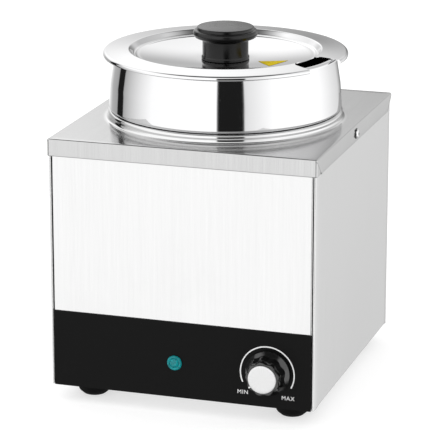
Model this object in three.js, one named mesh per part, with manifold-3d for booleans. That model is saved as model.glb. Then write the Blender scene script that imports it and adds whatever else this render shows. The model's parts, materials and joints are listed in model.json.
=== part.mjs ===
// Countertop soup kettle: a wet-heat warmer with a lift-out pot and a dished lid.
// Millimetres, +Z up. The front faces -Y and +X is to the right of someone facing the front.
// The origin is on the table, in the middle of the overall plan.
import * as THREE from 'three';
import { mergeVertices } from 'three/addons/utils/BufferGeometryUtils.js';
import Module from 'manifold-3d';

const wasm = await Module();
wasm.setup();

// ---------------------------------------------------------------- driving dimensions
const WIDTH = 270; // deck, over the side flanges
const DEPTH = 288; // deck, over the front and rear flanges
const CASING_HEIGHT = 250; // casing bottom edge to deck top
const SHEET = 1.0; // casing sheet
const FIT = 0.3; // gap between pieces that touch
const CORNER = 2.0; // outer bend radius of the casing corners
const FLANGE = 17.2; // drop of the deck flanges
const BODY_TOP = CASING_HEIGHT - 3; // upper edge of the body shell
const FOOT_HEIGHT = 15.5;
const FASCIA_HEIGHT = 77;
const FASCIA_SHEET = 0.5;
const ROUND = 36; // sides of the large round pieces

const POT_RADIUS = 100; // pot wall inside the well
const POT_WIDE = 116.1; // widest part of the pot, over the collar
const POT_BOTTOM = 105; // above the casing bottom edge
const POT_SHEET = 0.9;
const LIP_RADIUS = 110.7; // centre of the rolled pot lip
const LIP_HEIGHT = 312.9;
const LIP_ROLL = 3.0;
const SHOULDER_ROUND = 3.5; // outer radius where the pot's shoulder turns up

const TANK_RADIUS = 105.7;
const TANK_SHEET = 0.7;
const TANK_BOTTOM = 82;
const COLLAR_RADIUS = 117;

const LID_RADIUS = 121.6;
const LID_SHEET = 0.8;
const LID_HUB = 307.5; // lid's flat middle, above the casing bottom edge
const NOTCH_ANGLE = THREE.MathUtils.degToRad(-18); // ladle notch, from +X towards the front
const NOTCH_REACH = 95; // distance from the lid centre to the notch's inner edge
const NOTCH_INNER = 21; // half width at the inner edge
const NOTCH_OUTER = 27; // half width at the rim

const LAMP_X = -6.3;
const KNOB_X = 88.5;
const CONTROL_Z = 35.5; // knob and lamp height above the casing bottom edge
const KNOB_REACH = 22.5; // knob front, ahead of the fascia
const KNOB_REST = THREE.MathUtils.degToRad(216); // pointer direction at the lowest setting
const GLAND_REACH = 16; // cable gland, behind the body shell
const GLAND_X = 60;
const GLAND_Z = 38;

// ---------------------------------------------------------------- places that follow
const BODY_WIDTH = WIDTH - 2 * (SHEET + FIT);
const BODY_DEPTH = DEPTH - 2 * (SHEET + FIT);
const HEM = 2 * SHEET;
const HEM_DEPTH = 12;
const PANEL_WIDTH = BODY_WIDTH - 2 * (HEM + 0.8);
const PANEL_FRONT = -BODY_DEPTH / 2 + FIT;
const FASCIA_BACK = PANEL_FRONT - FIT;
const FASCIA_FRONT = FASCIA_BACK - FASCIA_SHEET;
const BASE_TOP = -FIT;
const BASE_BOTTOM = BASE_TOP - SHEET;
const FOOT_TOP = BASE_BOTTOM - FIT;
const FLOOR = FOOT_TOP - FOOT_HEIGHT;
const FOOT_X = 102.5;
const FOOT_Y = 107;
const SEAT = 7; // screw seat inside a foot, above the floor
const BASE_SCREW_X = BODY_WIDTH / 2 - 6.5;
const BASE_SCREW_Y = 96;
const DECK_SCREW_Z = CASING_HEIGHT - 9;
const ELEMENT_RADIUS = 60;
const ELEMENT_TUBE = 3.3;
const ELEMENT_Z = TANK_BOTTOM - FIT - ELEMENT_TUBE;
const CLAMP_TOP = ELEMENT_Z - ELEMENT_TUBE - FIT;
const CLAMP_SHEET = 1.5;
const KNOB_FACE = -FASCIA_FRONT + KNOB_REACH;
const GLAND_END = BODY_DEPTH / 2 + GLAND_REACH;
const CENTRING = (KNOB_FACE - GLAND_END) / 2; // puts the overall plan's middle at y = 0

// ---------------------------------------------------------------- solids
// Position only, shared vertices merged, slivers dropped, faces pointing out.
function tidy(source) {
  const bare = source.clone();
  bare.deleteAttribute('normal');
  bare.deleteAttribute('uv');
  const merged = mergeVertices(bare, 1e-4);
  const corner = merged.index.array;
  const position = merged.attributes.position;
  const kept = [];
  let volume = 0;
  const a = new THREE.Vector3();
  const b = new THREE.Vector3();
  const c = new THREE.Vector3();
  for (let i = 0; i < corner.length; i += 3) {
    const [p, q, r] = [corner[i], corner[i + 1], corner[i + 2]];
    if (p === q || q === r || r === p) continue;
    kept.push(p, q, r);
    a.fromBufferAttribute(position, p);
    b.fromBufferAttribute(position, q);
    c.fromBufferAttribute(position, r);
    volume += a.dot(b.cross(c));
  }
  merged.setIndex(volume < 0 ? kept.reverse() : kept);
  return merged;
}

function solid(source) {
  const shape = tidy(source);
  return new wasm.Manifold(new wasm.Mesh({
    numProp: 3,
    vertProperties: new Float32Array(shape.attributes.position.array),
    triVerts: new Uint32Array(shape.index.array),
  }));
}

function geometryOf(body) {
  const mesh = body.getMesh();
  const shape = new THREE.BufferGeometry();
  shape.setAttribute('position', new THREE.BufferAttribute(new Float32Array(mesh.vertProperties), 3));
  shape.setIndex(new THREE.BufferAttribute(new Uint32Array(mesh.triVerts), 1));
  return shape;
}

// A box between two corners.
function block(x0, x1, y0, y1, z0, z1) {
  const shape = new THREE.BoxGeometry(x1 - x0, y1 - y0, z1 - z0);
  shape.translate((x0 + x1) / 2, (y0 + y1) / 2, (z0 + z1) / 2);
  return shape;
}

// A round bar along Z.
function bar(radius, z0, z1, sides = 20) {
  const shape = new THREE.CylinderGeometry(radius, radius, z1 - z0, sides);
  shape.rotateX(Math.PI / 2);
  shape.translate(0, 0, (z0 + z1) / 2);
  return shape;
}

// A profile of [radius, height] pairs turned about Z.
function turned(profile, sides) {
  const points = profile.map(([radius, height]) => new THREE.Vector2(radius, height));
  const shape = new THREE.LatheGeometry(points, sides);
  shape.rotateX(Math.PI / 2);
  return shape;
}

// A ring: a profile that closes on itself, turned about Z.
function ring(profile, sides) {
  return turned([...profile, profile[0]], sides);
}

// Points of an arc in the [radius, height] plane, angles in degrees.
function arc(centreR, centreZ, radius, from, to, steps) {
  const points = [];
  for (let i = 0; i <= steps; i += 1) {
    const angle = THREE.MathUtils.degToRad(from + ((to - from) * i) / steps);
    points.push([centreR + radius * Math.cos(angle), centreZ + radius * Math.sin(angle)]);
  }
  return points;
}

function outline(width, depth, radius, segments = 3) {
  const shape = new THREE.Shape();
  const w = width / 2 - radius;
  const d = depth / 2 - radius;
  shape.absarc(w, d, radius, 0, Math.PI / 2, false);
  shape.absarc(-w, d, radius, Math.PI / 2, Math.PI, false);
  shape.absarc(-w, -d, radius, Math.PI, 1.5 * Math.PI, false);
  shape.absarc(w, -d, radius, 1.5 * Math.PI, 2 * Math.PI, false);
  return { shape, segments };
}

function upright({ shape, segments }, z0, z1) {
  const body = new THREE.ExtrudeGeometry(shape, {
    depth: z1 - z0,
    bevelEnabled: false,
    curveSegments: segments,
  });
  body.translate(0, 0, z0);
  return body;
}

// A block with rounded corners whose upper edge is rounded too; the lower edge is cut square.
function softBlock(width, depth, radius, edge, z0, z1) {
  const { shape } = outline(width - 2 * edge, depth - 2 * edge, radius - edge + 0.01);
  const body = new THREE.ExtrudeGeometry(shape, {
    depth: z1 - z0,
    bevelThickness: edge,
    bevelSize: edge,
    bevelSegments: 2,
    curveSegments: 2,
  });
  body.translate(0, 0, z0 - edge);
  return solid(body).subtract(solid(block(-width, width, -depth, depth, z0 - 2 * edge - 1, z0)));
}

// A round rod along a smooth curve through the points.
function rod(points, radius, sides, steps) {
  const route = new THREE.CatmullRomCurve3(points.map((p) => new THREE.Vector3(...p)));
  const section = new THREE.Shape();
  for (let i = 0; i < sides; i += 1) {
    const angle = (2 * Math.PI * i) / sides;
    const x = radius * Math.cos(angle);
    const y = radius * Math.sin(angle);
    if (i === 0) section.moveTo(x, y);
    else section.lineTo(x, y);
  }
  return new THREE.ExtrudeGeometry(section, { steps, extrudePath: route, bevelEnabled: false });
}

// A pan-head screw standing on its shank's end: head underside at z = 0, shank below.
function screw(headRadius, headHeight, shankRadius, length) {
  const crown = headRadius * 0.72;
  const profile = [
    [0, -length],
    [shankRadius, -length],
    [shankRadius, 0],
    [headRadius, 0],
    [headRadius, headHeight * 0.45],
    [crown, headHeight],
    [0, headHeight],
  ];
  return turned(profile, 9);
}

function hexNut(radius, bore, z0, z1) {
  const body = new THREE.CylinderGeometry(radius, radius, z1 - z0, 6);
  body.rotateX(Math.PI / 2);
  body.translate(0, 0, (z0 + z1) / 2);
  return geometryOf(solid(body).subtract(solid(bar(bore, z0 - 1, z1 + 1))));
}

// ---------------------------------------------------------------- casing
// Deck: a folded pan with a raised collar around the well. The side flanges have mitred ends:
// at the front a slit parts them from the front flange's wrapped tab, at the rear the corner is open.
function deckGeometry() {
  const top = CASING_HEIGHT;
  const low = top - FLANGE;
  let pan = softBlock(WIDTH, DEPTH, CORNER, 1.5, low, top);
  const inside = [WIDTH - 2 * SHEET, DEPTH - 2 * SHEET, CORNER - 0.5, 0.6];
  pan = pan.subtract(softBlock(...inside, low - 3, top - SHEET));
  pan = pan.subtract(solid(bar(COLLAR_RADIUS + 3, top - 3, top + 3, ROUND)));

  const height = 8.3;
  const bore = TANK_RADIUS + FIT;
  const collar = ring([
    [COLLAR_RADIUS + 5, top],
    [COLLAR_RADIUS + 1.8, top + 0.3],
    [COLLAR_RADIUS, top + 2.4],
    [COLLAR_RADIUS, top + 5.8],
    [COLLAR_RADIUS - 2.6, top + height],
    [bore + 2.0, top + height],
    [bore, top + height - 2.2],
    [bore, top - 7],
    [bore + SHEET, top - 7],
    [bore + SHEET, top + height - 2.6],
    [bore + 2.4, top + height - SHEET],
    [COLLAR_RADIUS - 3, top + height - SHEET],
    [COLLAR_RADIUS - SHEET, top + 5.4],
    [COLLAR_RADIUS - SHEET, top + 2],
    [COLLAR_RADIUS + 1.4, top - SHEET],
    [COLLAR_RADIUS + 5, top - SHEET],
  ], ROUND);
  pan = pan.add(solid(collar));

  const mitre = FLANGE - 1.6;
  for (const side of [-1, 1]) {
    const slit = new THREE.BoxGeometry(3 * SHEET, mitre * Math.SQRT2 + 1.2, 0.5);
    slit.translate(0, 0.6, 0);
    slit.rotateX(-Math.PI / 4);
    slit.translate((side * (WIDTH - SHEET)) / 2, -DEPTH / 2 + 1.6 + mitre / 2, top - 1.6 - mitre / 2);
    pan = pan.subtract(solid(slit));

    const corner = new THREE.BoxGeometry(60, 60, 16);
    corner.translate(0, 0, 8);
    corner.applyQuaternion(new THREE.Quaternion().setFromUnitVectors(
      new THREE.Vector3(0, 0, 1),
      new THREE.Vector3(side, 1, -1).normalize(),
    ));
    corner.translate((side * WIDTH) / 2, DEPTH / 2, top - 1.6);
    const above = solid(block(-WIDTH, WIDTH, -DEPTH, DEPTH, top - 1.5, top + 99));
    pan = pan.subtract(solid(corner).subtract(above));

    const hole = bar(2.4, -9, 9, 8);
    hole.rotateY(Math.PI / 2);
    hole.translate((side * WIDTH) / 2, 0, DECK_SCREW_Z);
    pan = pan.subtract(solid(hole));
  }
  const rearHole = bar(2.4, -9, 9, 8);
  rearHole.rotateX(Math.PI / 2);
  rearHole.translate(0, DEPTH / 2, DECK_SCREW_Z);
  return geometryOf(pan.subtract(solid(rearHole)));
}

// Body shell: left, rear and right walls bent from one sheet, flat hems at the front edges,
// an inward flange along the bottom, vent slots and the gland hole in the rear wall.
function bodyShellGeometry() {
  const w = BODY_WIDTH / 2;
  const d = BODY_DEPTH / 2;
  let shell = solid(upright(outline(BODY_WIDTH, BODY_DEPTH, CORNER), 0, BODY_TOP));
  const bore = outline(BODY_WIDTH - 2 * SHEET, BODY_DEPTH - 2 * SHEET, CORNER - SHEET);
  shell = shell.subtract(solid(upright(bore, SHEET, BODY_TOP + 1)));
  shell = shell.subtract(solid(block(-w + 12, w - 12, -d - 1, d - 12, -1, SHEET + 1)));
  shell = shell.subtract(solid(block(-w - 1, w + 1, -d - 1, -d + HEM_DEPTH, -1, BODY_TOP + 1)));
  shell = shell.subtract(solid(block(-w + HEM, w - HEM, -d, -d + HEM_DEPTH + 2, -1, SHEET + 1)));

  for (const side of [-1, 1]) {
    const hem = new THREE.Shape();
    hem.absarc(0, 0, HEM / 2, Math.PI, 2 * Math.PI, false);
    hem.lineTo(HEM / 2, HEM_DEPTH);
    hem.lineTo(-HEM / 2, HEM_DEPTH);
    const fold = new THREE.ExtrudeGeometry(hem, { depth: BODY_TOP, bevelEnabled: false, curveSegments: 5 });
    fold.translate(side * (w - HEM / 2), -d + HEM / 2, 0);
    shell = shell.add(solid(fold));

    const relief = new THREE.BoxGeometry(60, 60, 20);
    relief.translate(0, 0, 10);
    relief.applyQuaternion(new THREE.Quaternion().setFromUnitVectors(
      new THREE.Vector3(0, 0, 1),
      new THREE.Vector3(side, 1, 1).normalize(),
    ));
    relief.translate(side * w, d, CASING_HEIGHT - 12);
    shell = shell.subtract(solid(relief));

    const hole = bar(2.4, -9, 9, 8);
    hole.rotateY(Math.PI / 2);
    hole.translate(side * w, 0, DECK_SCREW_Z);
    shell = shell.subtract(solid(hole));
    for (const end of [-1, 1]) {
      const tap = bar(2.2, -4, 4, 8);
      tap.translate(side * BASE_SCREW_X, end * BASE_SCREW_Y, 0);
      shell = shell.subtract(solid(tap));
    }
  }

  for (let row = 0; row < 5; row += 1) {
    for (const side of [-1, 1]) {
      const x = side * 62;
      const z = 168 + 11 * row;
      shell = shell.subtract(solid(block(x - 24, x + 24, d - 4, d + 4, z, z + 4)));
    }
  }
  const rearHoles = [[0, DECK_SCREW_Z, 2.4, 8], [GLAND_X, GLAND_Z, 7.9, 16]];
  for (const [x, z, radius, sides] of rearHoles) {
    const hole = bar(radius, -5, 5, sides);
    hole.rotateX(Math.PI / 2);
    hole.translate(x, d, z);
    shell = shell.subtract(solid(hole));
  }
  return geometryOf(shell);
}

// Front panel: a tray with side, top and bottom returns, pierced for the lamp and the thermostat.
function frontPanelGeometry() {
  const back = PANEL_FRONT + 12;
  const depth = 40;
  const middle = PANEL_FRONT + depth / 2;
  let panel = solid(upright(outline(PANEL_WIDTH, depth, 1.5), 0, BODY_TOP).translate(0, middle, 0));
  const hollow = upright(outline(PANEL_WIDTH - 2 * SHEET, depth - 2 * SHEET, 0.6), SHEET, BODY_TOP - SHEET);
  panel = panel.subtract(solid(hollow.translate(0, middle, 0)));
  panel = panel.subtract(solid(block(-WIDTH, WIDTH, back, back + depth, -5, BODY_TOP + 5)));
  const holes = [[LAMP_X, 0, 6.3, 20], [KNOB_X, 0, 5.4, 16], [KNOB_X, -14, 2.2, 8], [KNOB_X, 14, 2.2, 8]];
  for (const [x, aside, radius, sides] of holes) {
    panel = panel.subtract(pierced(x + aside, radius, sides));
  }
  return geometryOf(panel);
}

// A cutter through the panel and the fascia at the control height.
function pierced(x, radius, sides) {
  const cutter = bar(radius, -6, 6, sides);
  cutter.rotateX(Math.PI / 2);
  cutter.translate(x, PANEL_FRONT, CONTROL_Z);
  return solid(cutter);
}

function fasciaGeometry() {
  const w = PANEL_WIDTH / 2;
  let plate = solid(block(-w, w, FASCIA_FRONT, FASCIA_BACK, 0, FASCIA_HEIGHT));
  plate = plate.subtract(pierced(LAMP_X, 6.3, 20));
  plate = plate.subtract(pierced(KNOB_X, 18.5, 20));
  return geometryOf(plate);
}

function basePlateGeometry() {
  const width = BODY_WIDTH - 6;
  const depth = BODY_DEPTH - 6;
  let plate = solid(upright(outline(width, depth, 3), BASE_BOTTOM, BASE_TOP));
  for (const side of [-1, 1]) {
    for (const end of [-1, 1]) {
      const foot = bar(2.7, -5, 5, 8).translate(side * FOOT_X, end * FOOT_Y, 0);
      const edge = bar(2.2, -5, 5, 8).translate(side * BASE_SCREW_X, end * BASE_SCREW_Y, 0);
      plate = plate.subtract(solid(foot)).subtract(solid(edge));
    }
    for (let row = -1; row <= 1; row += 1) {
      const x = side * 34;
      const y = row * 16;
      plate = plate.subtract(solid(block(x - 20, x + 20, y - 2, y + 2, -5, 5)));
    }
  }
  return geometryOf(plate);
}

function footGeometry() {
  const low = FLOOR;
  return ring([
    [2.8, FOOT_TOP],
    [18, FOOT_TOP],
    [17.8, FOOT_TOP - 4],
    [16.2, FOOT_TOP - 9],
    [13.4, low + 1.8],
    [11, low],
    [6, low],
    [6, low + SEAT],
    [2.8, low + SEAT],
  ], 18);
}

// ---------------------------------------------------------------- well and heater
// Water tank: a rolled wall, and a flat floor welded inside its lower edge. A threaded stud stands
// under the floor's centre.
function tankWallGeometry() {
  const bore = TANK_RADIUS - TANK_SHEET;
  const rim = CASING_HEIGHT + 2;
  return ring([[TANK_RADIUS, TANK_BOTTOM], [TANK_RADIUS, rim], [bore, rim], [bore, TANK_BOTTOM]], ROUND);
}

function tankFloorGeometry() {
  const low = TANK_BOTTOM;
  const edge = TANK_RADIUS - TANK_SHEET - FIT;
  const stud = 3;
  const studEnd = low - 16;
  const top = low + TANK_SHEET;
  return turned([[0, studEnd], [stud, studEnd], [stud, low], [edge, low], [edge, top], [0, top]], ROUND);
}

// Heating element: one open turn of tube whose two ends run forward to the terminals.
function elementGeometry() {
  const points = [];
  const gap = 15;
  for (let angle = -90 + gap; angle <= 270 - gap; angle += 30) {
    const a = THREE.MathUtils.degToRad(angle);
    points.push([ELEMENT_RADIUS * Math.cos(a), ELEMENT_RADIUS * Math.sin(a), ELEMENT_Z]);
  }
  const leg = ELEMENT_RADIUS * Math.sin(THREE.MathUtils.degToRad(gap));
  points.unshift([leg - 1, -92, ELEMENT_Z], [leg - 1, -74, ELEMENT_Z]);
  points.push([-leg + 1, -74, ELEMENT_Z], [-leg + 1, -92, ELEMENT_Z]);
  return rod(points, ELEMENT_TUBE, 8, 36);
}

function clampPlateGeometry() {
  const low = CLAMP_TOP - CLAMP_SHEET;
  return ring([[3.4, CLAMP_TOP], [70, CLAMP_TOP], [70, low], [3.4, low]], 24);
}

function cutoutGeometry() {
  const top = CLAMP_TOP - CLAMP_SHEET - FIT;
  return turned([
    [0, top],
    [11, top],
    [11, top - 1.2],
    [8, top - 1.2],
    [8, top - 9],
    [0, top - 9],
  ], 12).translate(30, 0, 0);
}

// ---------------------------------------------------------------- thermostat and lamp
// The control pieces are drawn face-on: x across, y up, z out of the fascia's front face.
const BEHIND = PANEL_FRONT + SHEET - FASCIA_FRONT; // fascia front to the panel's rear face

function thermostatGeometry() {
  const back = -BEHIND - FIT;
  let body = solid(block(-20, 20, -17, 17, back - 29, back - 1.5));
  body = body.add(solid(block(-20, 20, -9, 9, back - 2, back)));
  body = body.add(solid(bar(5, back - 1, 0.6, 16)));
  body = body.subtract(solid(bar(3.4, back - 12, 5, 16)));
  for (const side of [-1, 1]) {
    body = body.subtract(solid(bar(1.9, back - 9, 5, 8).translate(side * 14, 0, 0)));
    body = body.add(solid(block(side * 12 - 3, side * 12 + 3, -8, -7.2, back - 36, back - 28)));
  }
  return geometryOf(body);
}

function spindleGeometry() {
  return turned([[0, -BEHIND - 10], [3, -BEHIND - 10], [3, 13.6], [2.6, 14], [0, 14]], 16);
}

// Knob: a flared skirt with a fluted grip, bored for the spindle from behind.
function knobGeometry() {
  const skirt = turned([
    [0, 1.2],
    [22.3, 1.2],
    [22.3, 3.2],
    [18.6, 7.4],
    [16.0, 13.0],
    [0, 13.0],
  ], 28);
  const flutes = 9;
  const grip = new THREE.Shape();
  const steps = flutes * 4;
  for (let i = 0; i < steps; i += 1) {
    const angle = KNOB_REST + (2 * Math.PI * i) / steps;
    const radius = 16.3 + 0.7 * Math.cos(flutes * (angle - KNOB_REST));
    const x = radius * Math.cos(angle);
    const y = radius * Math.sin(angle);
    if (i === 0) grip.moveTo(x, y);
    else grip.lineTo(x, y);
  }
  const front = KNOB_REACH - 1.2;
  const fluted = new THREE.ExtrudeGeometry(grip, { depth: front - 8, bevelEnabled: false });
  let body = solid(skirt).add(solid(fluted.translate(0, 0, 8)));
  body = body.subtract(solid(bar(14.3, front - 0.9, front + 1, 24)));
  body = body.subtract(solid(bar(3.3, 0, 14.4, 16)));
  body = body.subtract(solid(bar(6.2, 0, 2.6, 16)));
  return geometryOf(body);
}

function knobCapGeometry() {
  const back = KNOB_REACH - 1.2 - 0.9 + FIT;
  const edge = KNOB_REACH - 0.5;
  return turned([[0, back], [14, back], [14, edge], [13.4, KNOB_REACH], [0, KNOB_REACH]], 24);
}

function lampLensGeometry() {
  return turned([
    [0, FIT],
    [7.4, FIT],
    [7.5, 0.9],
    [7.0, 1.9],
    [5.9, 2.3],
    [4.9, 1.9],
    [4.5, 1.4],
    [4.1, 1.9],
    [2.5, 2.5],
    [0, 2.7],
  ], 16);
}

function lampBodyGeometry() {
  const end = -BEHIND - 26;
  let body = solid(turned([[0, end], [5.4, end], [5.9, end + 1], [5.9, 0], [0, 0]], 12));
  for (const side of [-1, 1]) {
    body = body.add(solid(block(side * 3 - 0.4, side * 3 + 0.4, -2.4, 2.4, end - 7, end + 1)));
  }
  return geometryOf(body);
}

function lampNutGeometry() {
  const face = -BEHIND - FIT;
  return ring([[6.2, face], [9, face], [9, face - 2], [6.2, face - 2]], 12);
}

// ---------------------------------------------------------------- pot and lid
// Pot: a stepped pot. The shoulder stands on the collar, the wide band above it leans in
// towards the mouth, and the lip is rolled outwards.
function potGeometry() {
  const low = POT_BOTTOM;
  const shoulder = CASING_HEIGHT + 8.6;
  const t = POT_SHEET;
  const turn = POT_WIDE - SHOULDER_ROUND;
  const outer = [
    [0, low],
    ...arc(POT_RADIUS - 10, low + 10, 10, -90, 0, 2),
    [POT_RADIUS + 0.6, shoulder - 2.2],
    [POT_RADIUS + 2.4, shoulder],
    ...arc(turn, shoulder + SHOULDER_ROUND, SHOULDER_ROUND, -90, 0, 3),
    [POT_WIDE - 1.7, 284],
    [POT_WIDE - 4.4, 301],
  ];
  const lip = arc(LIP_RADIUS, LIP_HEIGHT, LIP_ROLL, -75, 180, 5);
  const inner = [
    [POT_WIDE - 4.4 - t, 301],
    [POT_WIDE - 1.7 - t, 284],
    ...arc(turn, shoulder + SHOULDER_ROUND, SHOULDER_ROUND - t, 0, -90, 2),
    [POT_RADIUS + 1.6, shoulder + t],
    [POT_RADIUS - 0.4, shoulder - 1.8],
    ...arc(POT_RADIUS - 10, low + 10, 10 - t, 0, -90, 2),
    [0, low + t],
  ];
  return turned([...outer, ...lip, ...inner], ROUND);
}

// Lid: a shallow dish, a stepped ring, a gently sloping rim with a rolled edge, and the ladle notch.
function lidGeometry() {
  const t = LID_SHEET;
  const upper = [
    [3.6, LID_HUB],
    [30, LID_HUB],
    [60, LID_HUB + 2],
    [90.5, 313.4],
    [95.4, 318.1],
    [113, 317.0],
    [LID_RADIUS - 1.2, 315.3],
    [LID_RADIUS, 313.6],
    [LID_RADIUS - 0.5, 311.9],
  ];
  const lower = [
    [LID_RADIUS - 1.3, 312.1],
    [LID_RADIUS - 1.7, 314.4],
    [113, 316.2],
    [95.7, 317.28],
    [90.86, 312.64],
    [60.08, LID_HUB + 2 - t],
    [30.03, LID_HUB - t],
    [3.6, LID_HUB - t],
  ];
  const dish = ring([...upper, ...lower], ROUND);
  const cut = new THREE.Shape();
  const radius = 7;
  cut.moveTo(140, -NOTCH_OUTER - 3);
  cut.lineTo(140, NOTCH_OUTER + 3);
  cut.lineTo(NOTCH_REACH + radius, NOTCH_INNER + 1.4);
  cut.quadraticCurveTo(NOTCH_REACH, NOTCH_INNER, NOTCH_REACH, NOTCH_INNER - radius);
  cut.lineTo(NOTCH_REACH, -NOTCH_INNER + radius);
  cut.quadraticCurveTo(NOTCH_REACH, -NOTCH_INNER, NOTCH_REACH + radius, -NOTCH_INNER - 1.4);
  const notch = new THREE.ExtrudeGeometry(cut, { depth: 40, bevelEnabled: false, curveSegments: 3 });
  notch.translate(0, 0, 295).rotateZ(NOTCH_ANGLE);
  return geometryOf(solid(dish).subtract(solid(notch)));
}

// Lid knob: a spool with a wide rolled head, hollow at the foot for its threaded insert.
function lidKnobGeometry() {
  const foot = LID_HUB + FIT;
  return turned([
    [0, foot + 22],
    [5.3, foot + 22],
    [5.3, foot],
    [23.8, foot],
    [23.8, foot + 2],
    [22.8, foot + 3.4],
    [22.8, 326],
    [24.6, 328.8],
    [29.4, 329.8],
    [31.7, 331.2],
    [32.3, 333.2],
    [31.5, 335.4],
    [29.2, 336.9],
    [28.2, 337.2],
    [28, 339.4],
    [26.8, 340.2],
    [0, 340.9],
  ], 24);
}

function insertGeometry() {
  const foot = LID_HUB + 2 * FIT;
  return ring([[2.6, foot], [5, foot], [5, foot + 20], [2.6, foot + 20]], 10);
}

function lidWasherGeometry() {
  const top = LID_HUB - LID_SHEET - FIT;
  return ring([[2.8, top], [7.5, top], [7.5, top - 1.2], [2.8, top - 1.2]], 12);
}

// ---------------------------------------------------------------- fittings behind the panels
function bulbClipGeometry() {
  const clip = new THREE.Shape();
  clip.moveTo(-8, 0);
  clip.lineTo(-4.3, 0);
  clip.lineTo(-4.3, 3.4);
  clip.absarc(0, 3.4, 4.3, Math.PI, 0, true);
  clip.lineTo(4.3, 0);
  clip.lineTo(8, 0);
  clip.lineTo(8, 0.9);
  clip.lineTo(5.2, 0.9);
  clip.lineTo(5.2, 3.4);
  clip.absarc(0, 3.4, 5.2, 0, Math.PI, false);
  clip.lineTo(-5.2, 0.9);
  clip.lineTo(-8, 0.9);
  return new THREE.ExtrudeGeometry(clip, { depth: 14, bevelEnabled: false, curveSegments: 6 });
}

function terminalBlockGeometry() {
  let body = solid(block(-21, 21, -10, 10, 0, 15));
  body = body.subtract(solid(block(-22, 22, 3.5, 11, 9, 16)));
  for (const x of [-14, 0, 14]) {
    body = body.subtract(solid(bar(2, 8, 16, 8).translate(x, -3, 0)));
    const entry = bar(2.3, -11, -4, 8).rotateX(-Math.PI / 2).translate(x, 0, 5);
    body = body.subtract(solid(entry));
  }
  return geometryOf(body.subtract(solid(bar(1.9, -1, 16, 8).translate(7, 6.8, 0))));
}

// Cable gland: flange, hexagon and domed nut outside, thread inside, with the cord's way open.
function glandGeometry() {
  const out = GLAND_REACH;
  const body = ring([
    [4, -15],
    [7.4, -15],
    [7.4, FIT],
    [11.5, FIT],
    [11.5, 4.6],
    [9.9, 5],
    [9.9, out - 4],
    [7.4, out - 0.8],
    [5.4, out],
    [4, out],
  ], 16);
  const flats = new THREE.CylinderGeometry(12.4, 12.4, 4.3, 6).rotateX(Math.PI / 2);
  const hexagon = solid(flats.translate(0, 0, FIT + 2.15)).intersect(solid(bar(11.9, FIT, FIT + 4.3, 16)));
  return geometryOf(solid(body).add(hexagon.subtract(solid(bar(6, -1, 9, 12)))));
}

// ---------------------------------------------------------------- assembly
const FINISHES = {
  mirror: [0xdfe1e2, 0.08, 1.0],
  brushed: [0xc6c8ca, 0.32, 1.0],
  plain: [0xb4b6b8, 0.42, 1.0],
  zinc: [0xa8a9a6, 0.4, 0.9],
  brass: [0xb99a55, 0.35, 0.9],
  copper: [0xb26a48, 0.35, 0.9],
  fascia: [0x1d1d1e, 0.35, 0.0],
  gloss: [0x161617, 0.2, 0.0],
  bakelite: [0x1b1b1c, 0.38, 0.0],
  moulded: [0x2b2b2c, 0.5, 0.0],
  white: [0xe6e4de, 0.5, 0.0],
  ceramic: [0xd9d4c6, 0.6, 0.0],
  rubber: [0x101010, 0.8, 0.0],
  lens: [0x1fb3ad, 0.15, 0.0],
  brown: [0x6a3b20, 0.5, 0.0],
  blue: [0x2450a0, 0.5, 0.0],
  green: [0x4f9a3a, 0.5, 0.0],
  red: [0xa8281f, 0.5, 0.0],
};

function part(parent, name, geometry, finish) {
  const [color, roughness, metalness] = FINISHES[finish];
  const shape = tidy(geometry);
  shape.computeVertexNormals();
  const mesh = new THREE.Mesh(shape, new THREE.MeshStandardMaterial({ color, roughness, metalness }));
  mesh.name = name;
  parent.add(mesh);
  return mesh;
}

function addCasing(casing) {
  part(casing, 'deck', deckGeometry(), 'brushed');
  part(casing, 'body_shell', bodyShellGeometry(), 'brushed');
  part(casing, 'front_panel', frontPanelGeometry(), 'brushed');
  part(casing, 'control_fascia', fasciaGeometry(), 'fascia');
  part(casing, 'base_plate', basePlateGeometry(), 'plain');
  part(casing, 'water_tank', tankWallGeometry(), 'plain');
  part(casing, 'tank_floor', tankFloorGeometry(), 'plain');
}

function addHeater(casing) {
  part(casing, 'heating_element', elementGeometry(), 'copper');
  part(casing, 'heater_clamp_plate', clampPlateGeometry(), 'zinc');
  const nutTop = CLAMP_TOP - CLAMP_SHEET - FIT;
  part(casing, 'heater_nut', hexNut(5.8, 3.3, nutTop - 5, nutTop), 'zinc');
  part(casing, 'thermal_cutout', cutoutGeometry(), 'ceramic');
}

function addFeetAndScrews(casing) {
  const foot = footGeometry();
  const footScrew = screw(4.8, 3, 2.2, 14).rotateX(Math.PI);
  const baseScrew = screw(4, 2.4, 1.8, 8).rotateX(Math.PI);
  for (const [end, y] of [['front', -1], ['rear', 1]]) {
    for (const [side, x] of [['left', -1], ['right', 1]]) {
      const label = `${end}_${side}`;
      part(casing, `foot_${label}`, foot, 'rubber').position.set(x * FOOT_X, y * FOOT_Y, 0);
      const inFoot = part(casing, `foot_screw_${label}`, footScrew, 'zinc');
      inFoot.position.set(x * FOOT_X, y * FOOT_Y, FLOOR + SEAT - FIT);
      const inBase = part(casing, `base_screw_${label}`, baseScrew, 'zinc');
      inBase.position.set(x * BASE_SCREW_X, y * BASE_SCREW_Y, BASE_BOTTOM - FIT);
    }
  }

  const deckScrew = screw(4.7, 2.4, 2, 10);
  const places = [['right', [0, Math.PI / 2, 0], [1, 0]], ['left', [0, -Math.PI / 2, 0], [-1, 0]],
    ['rear', [-Math.PI / 2, 0, 0], [0, 1]]];
  for (const [label, turn, [x, y]] of places) {
    const piece = part(casing, `deck_screw_${label}`, deckScrew, 'zinc');
    piece.rotation.set(...turn);
    piece.position.set(x * (WIDTH / 2 + FIT), y * (DEPTH / 2 + FIT), DECK_SCREW_Z);
  }
}

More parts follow.
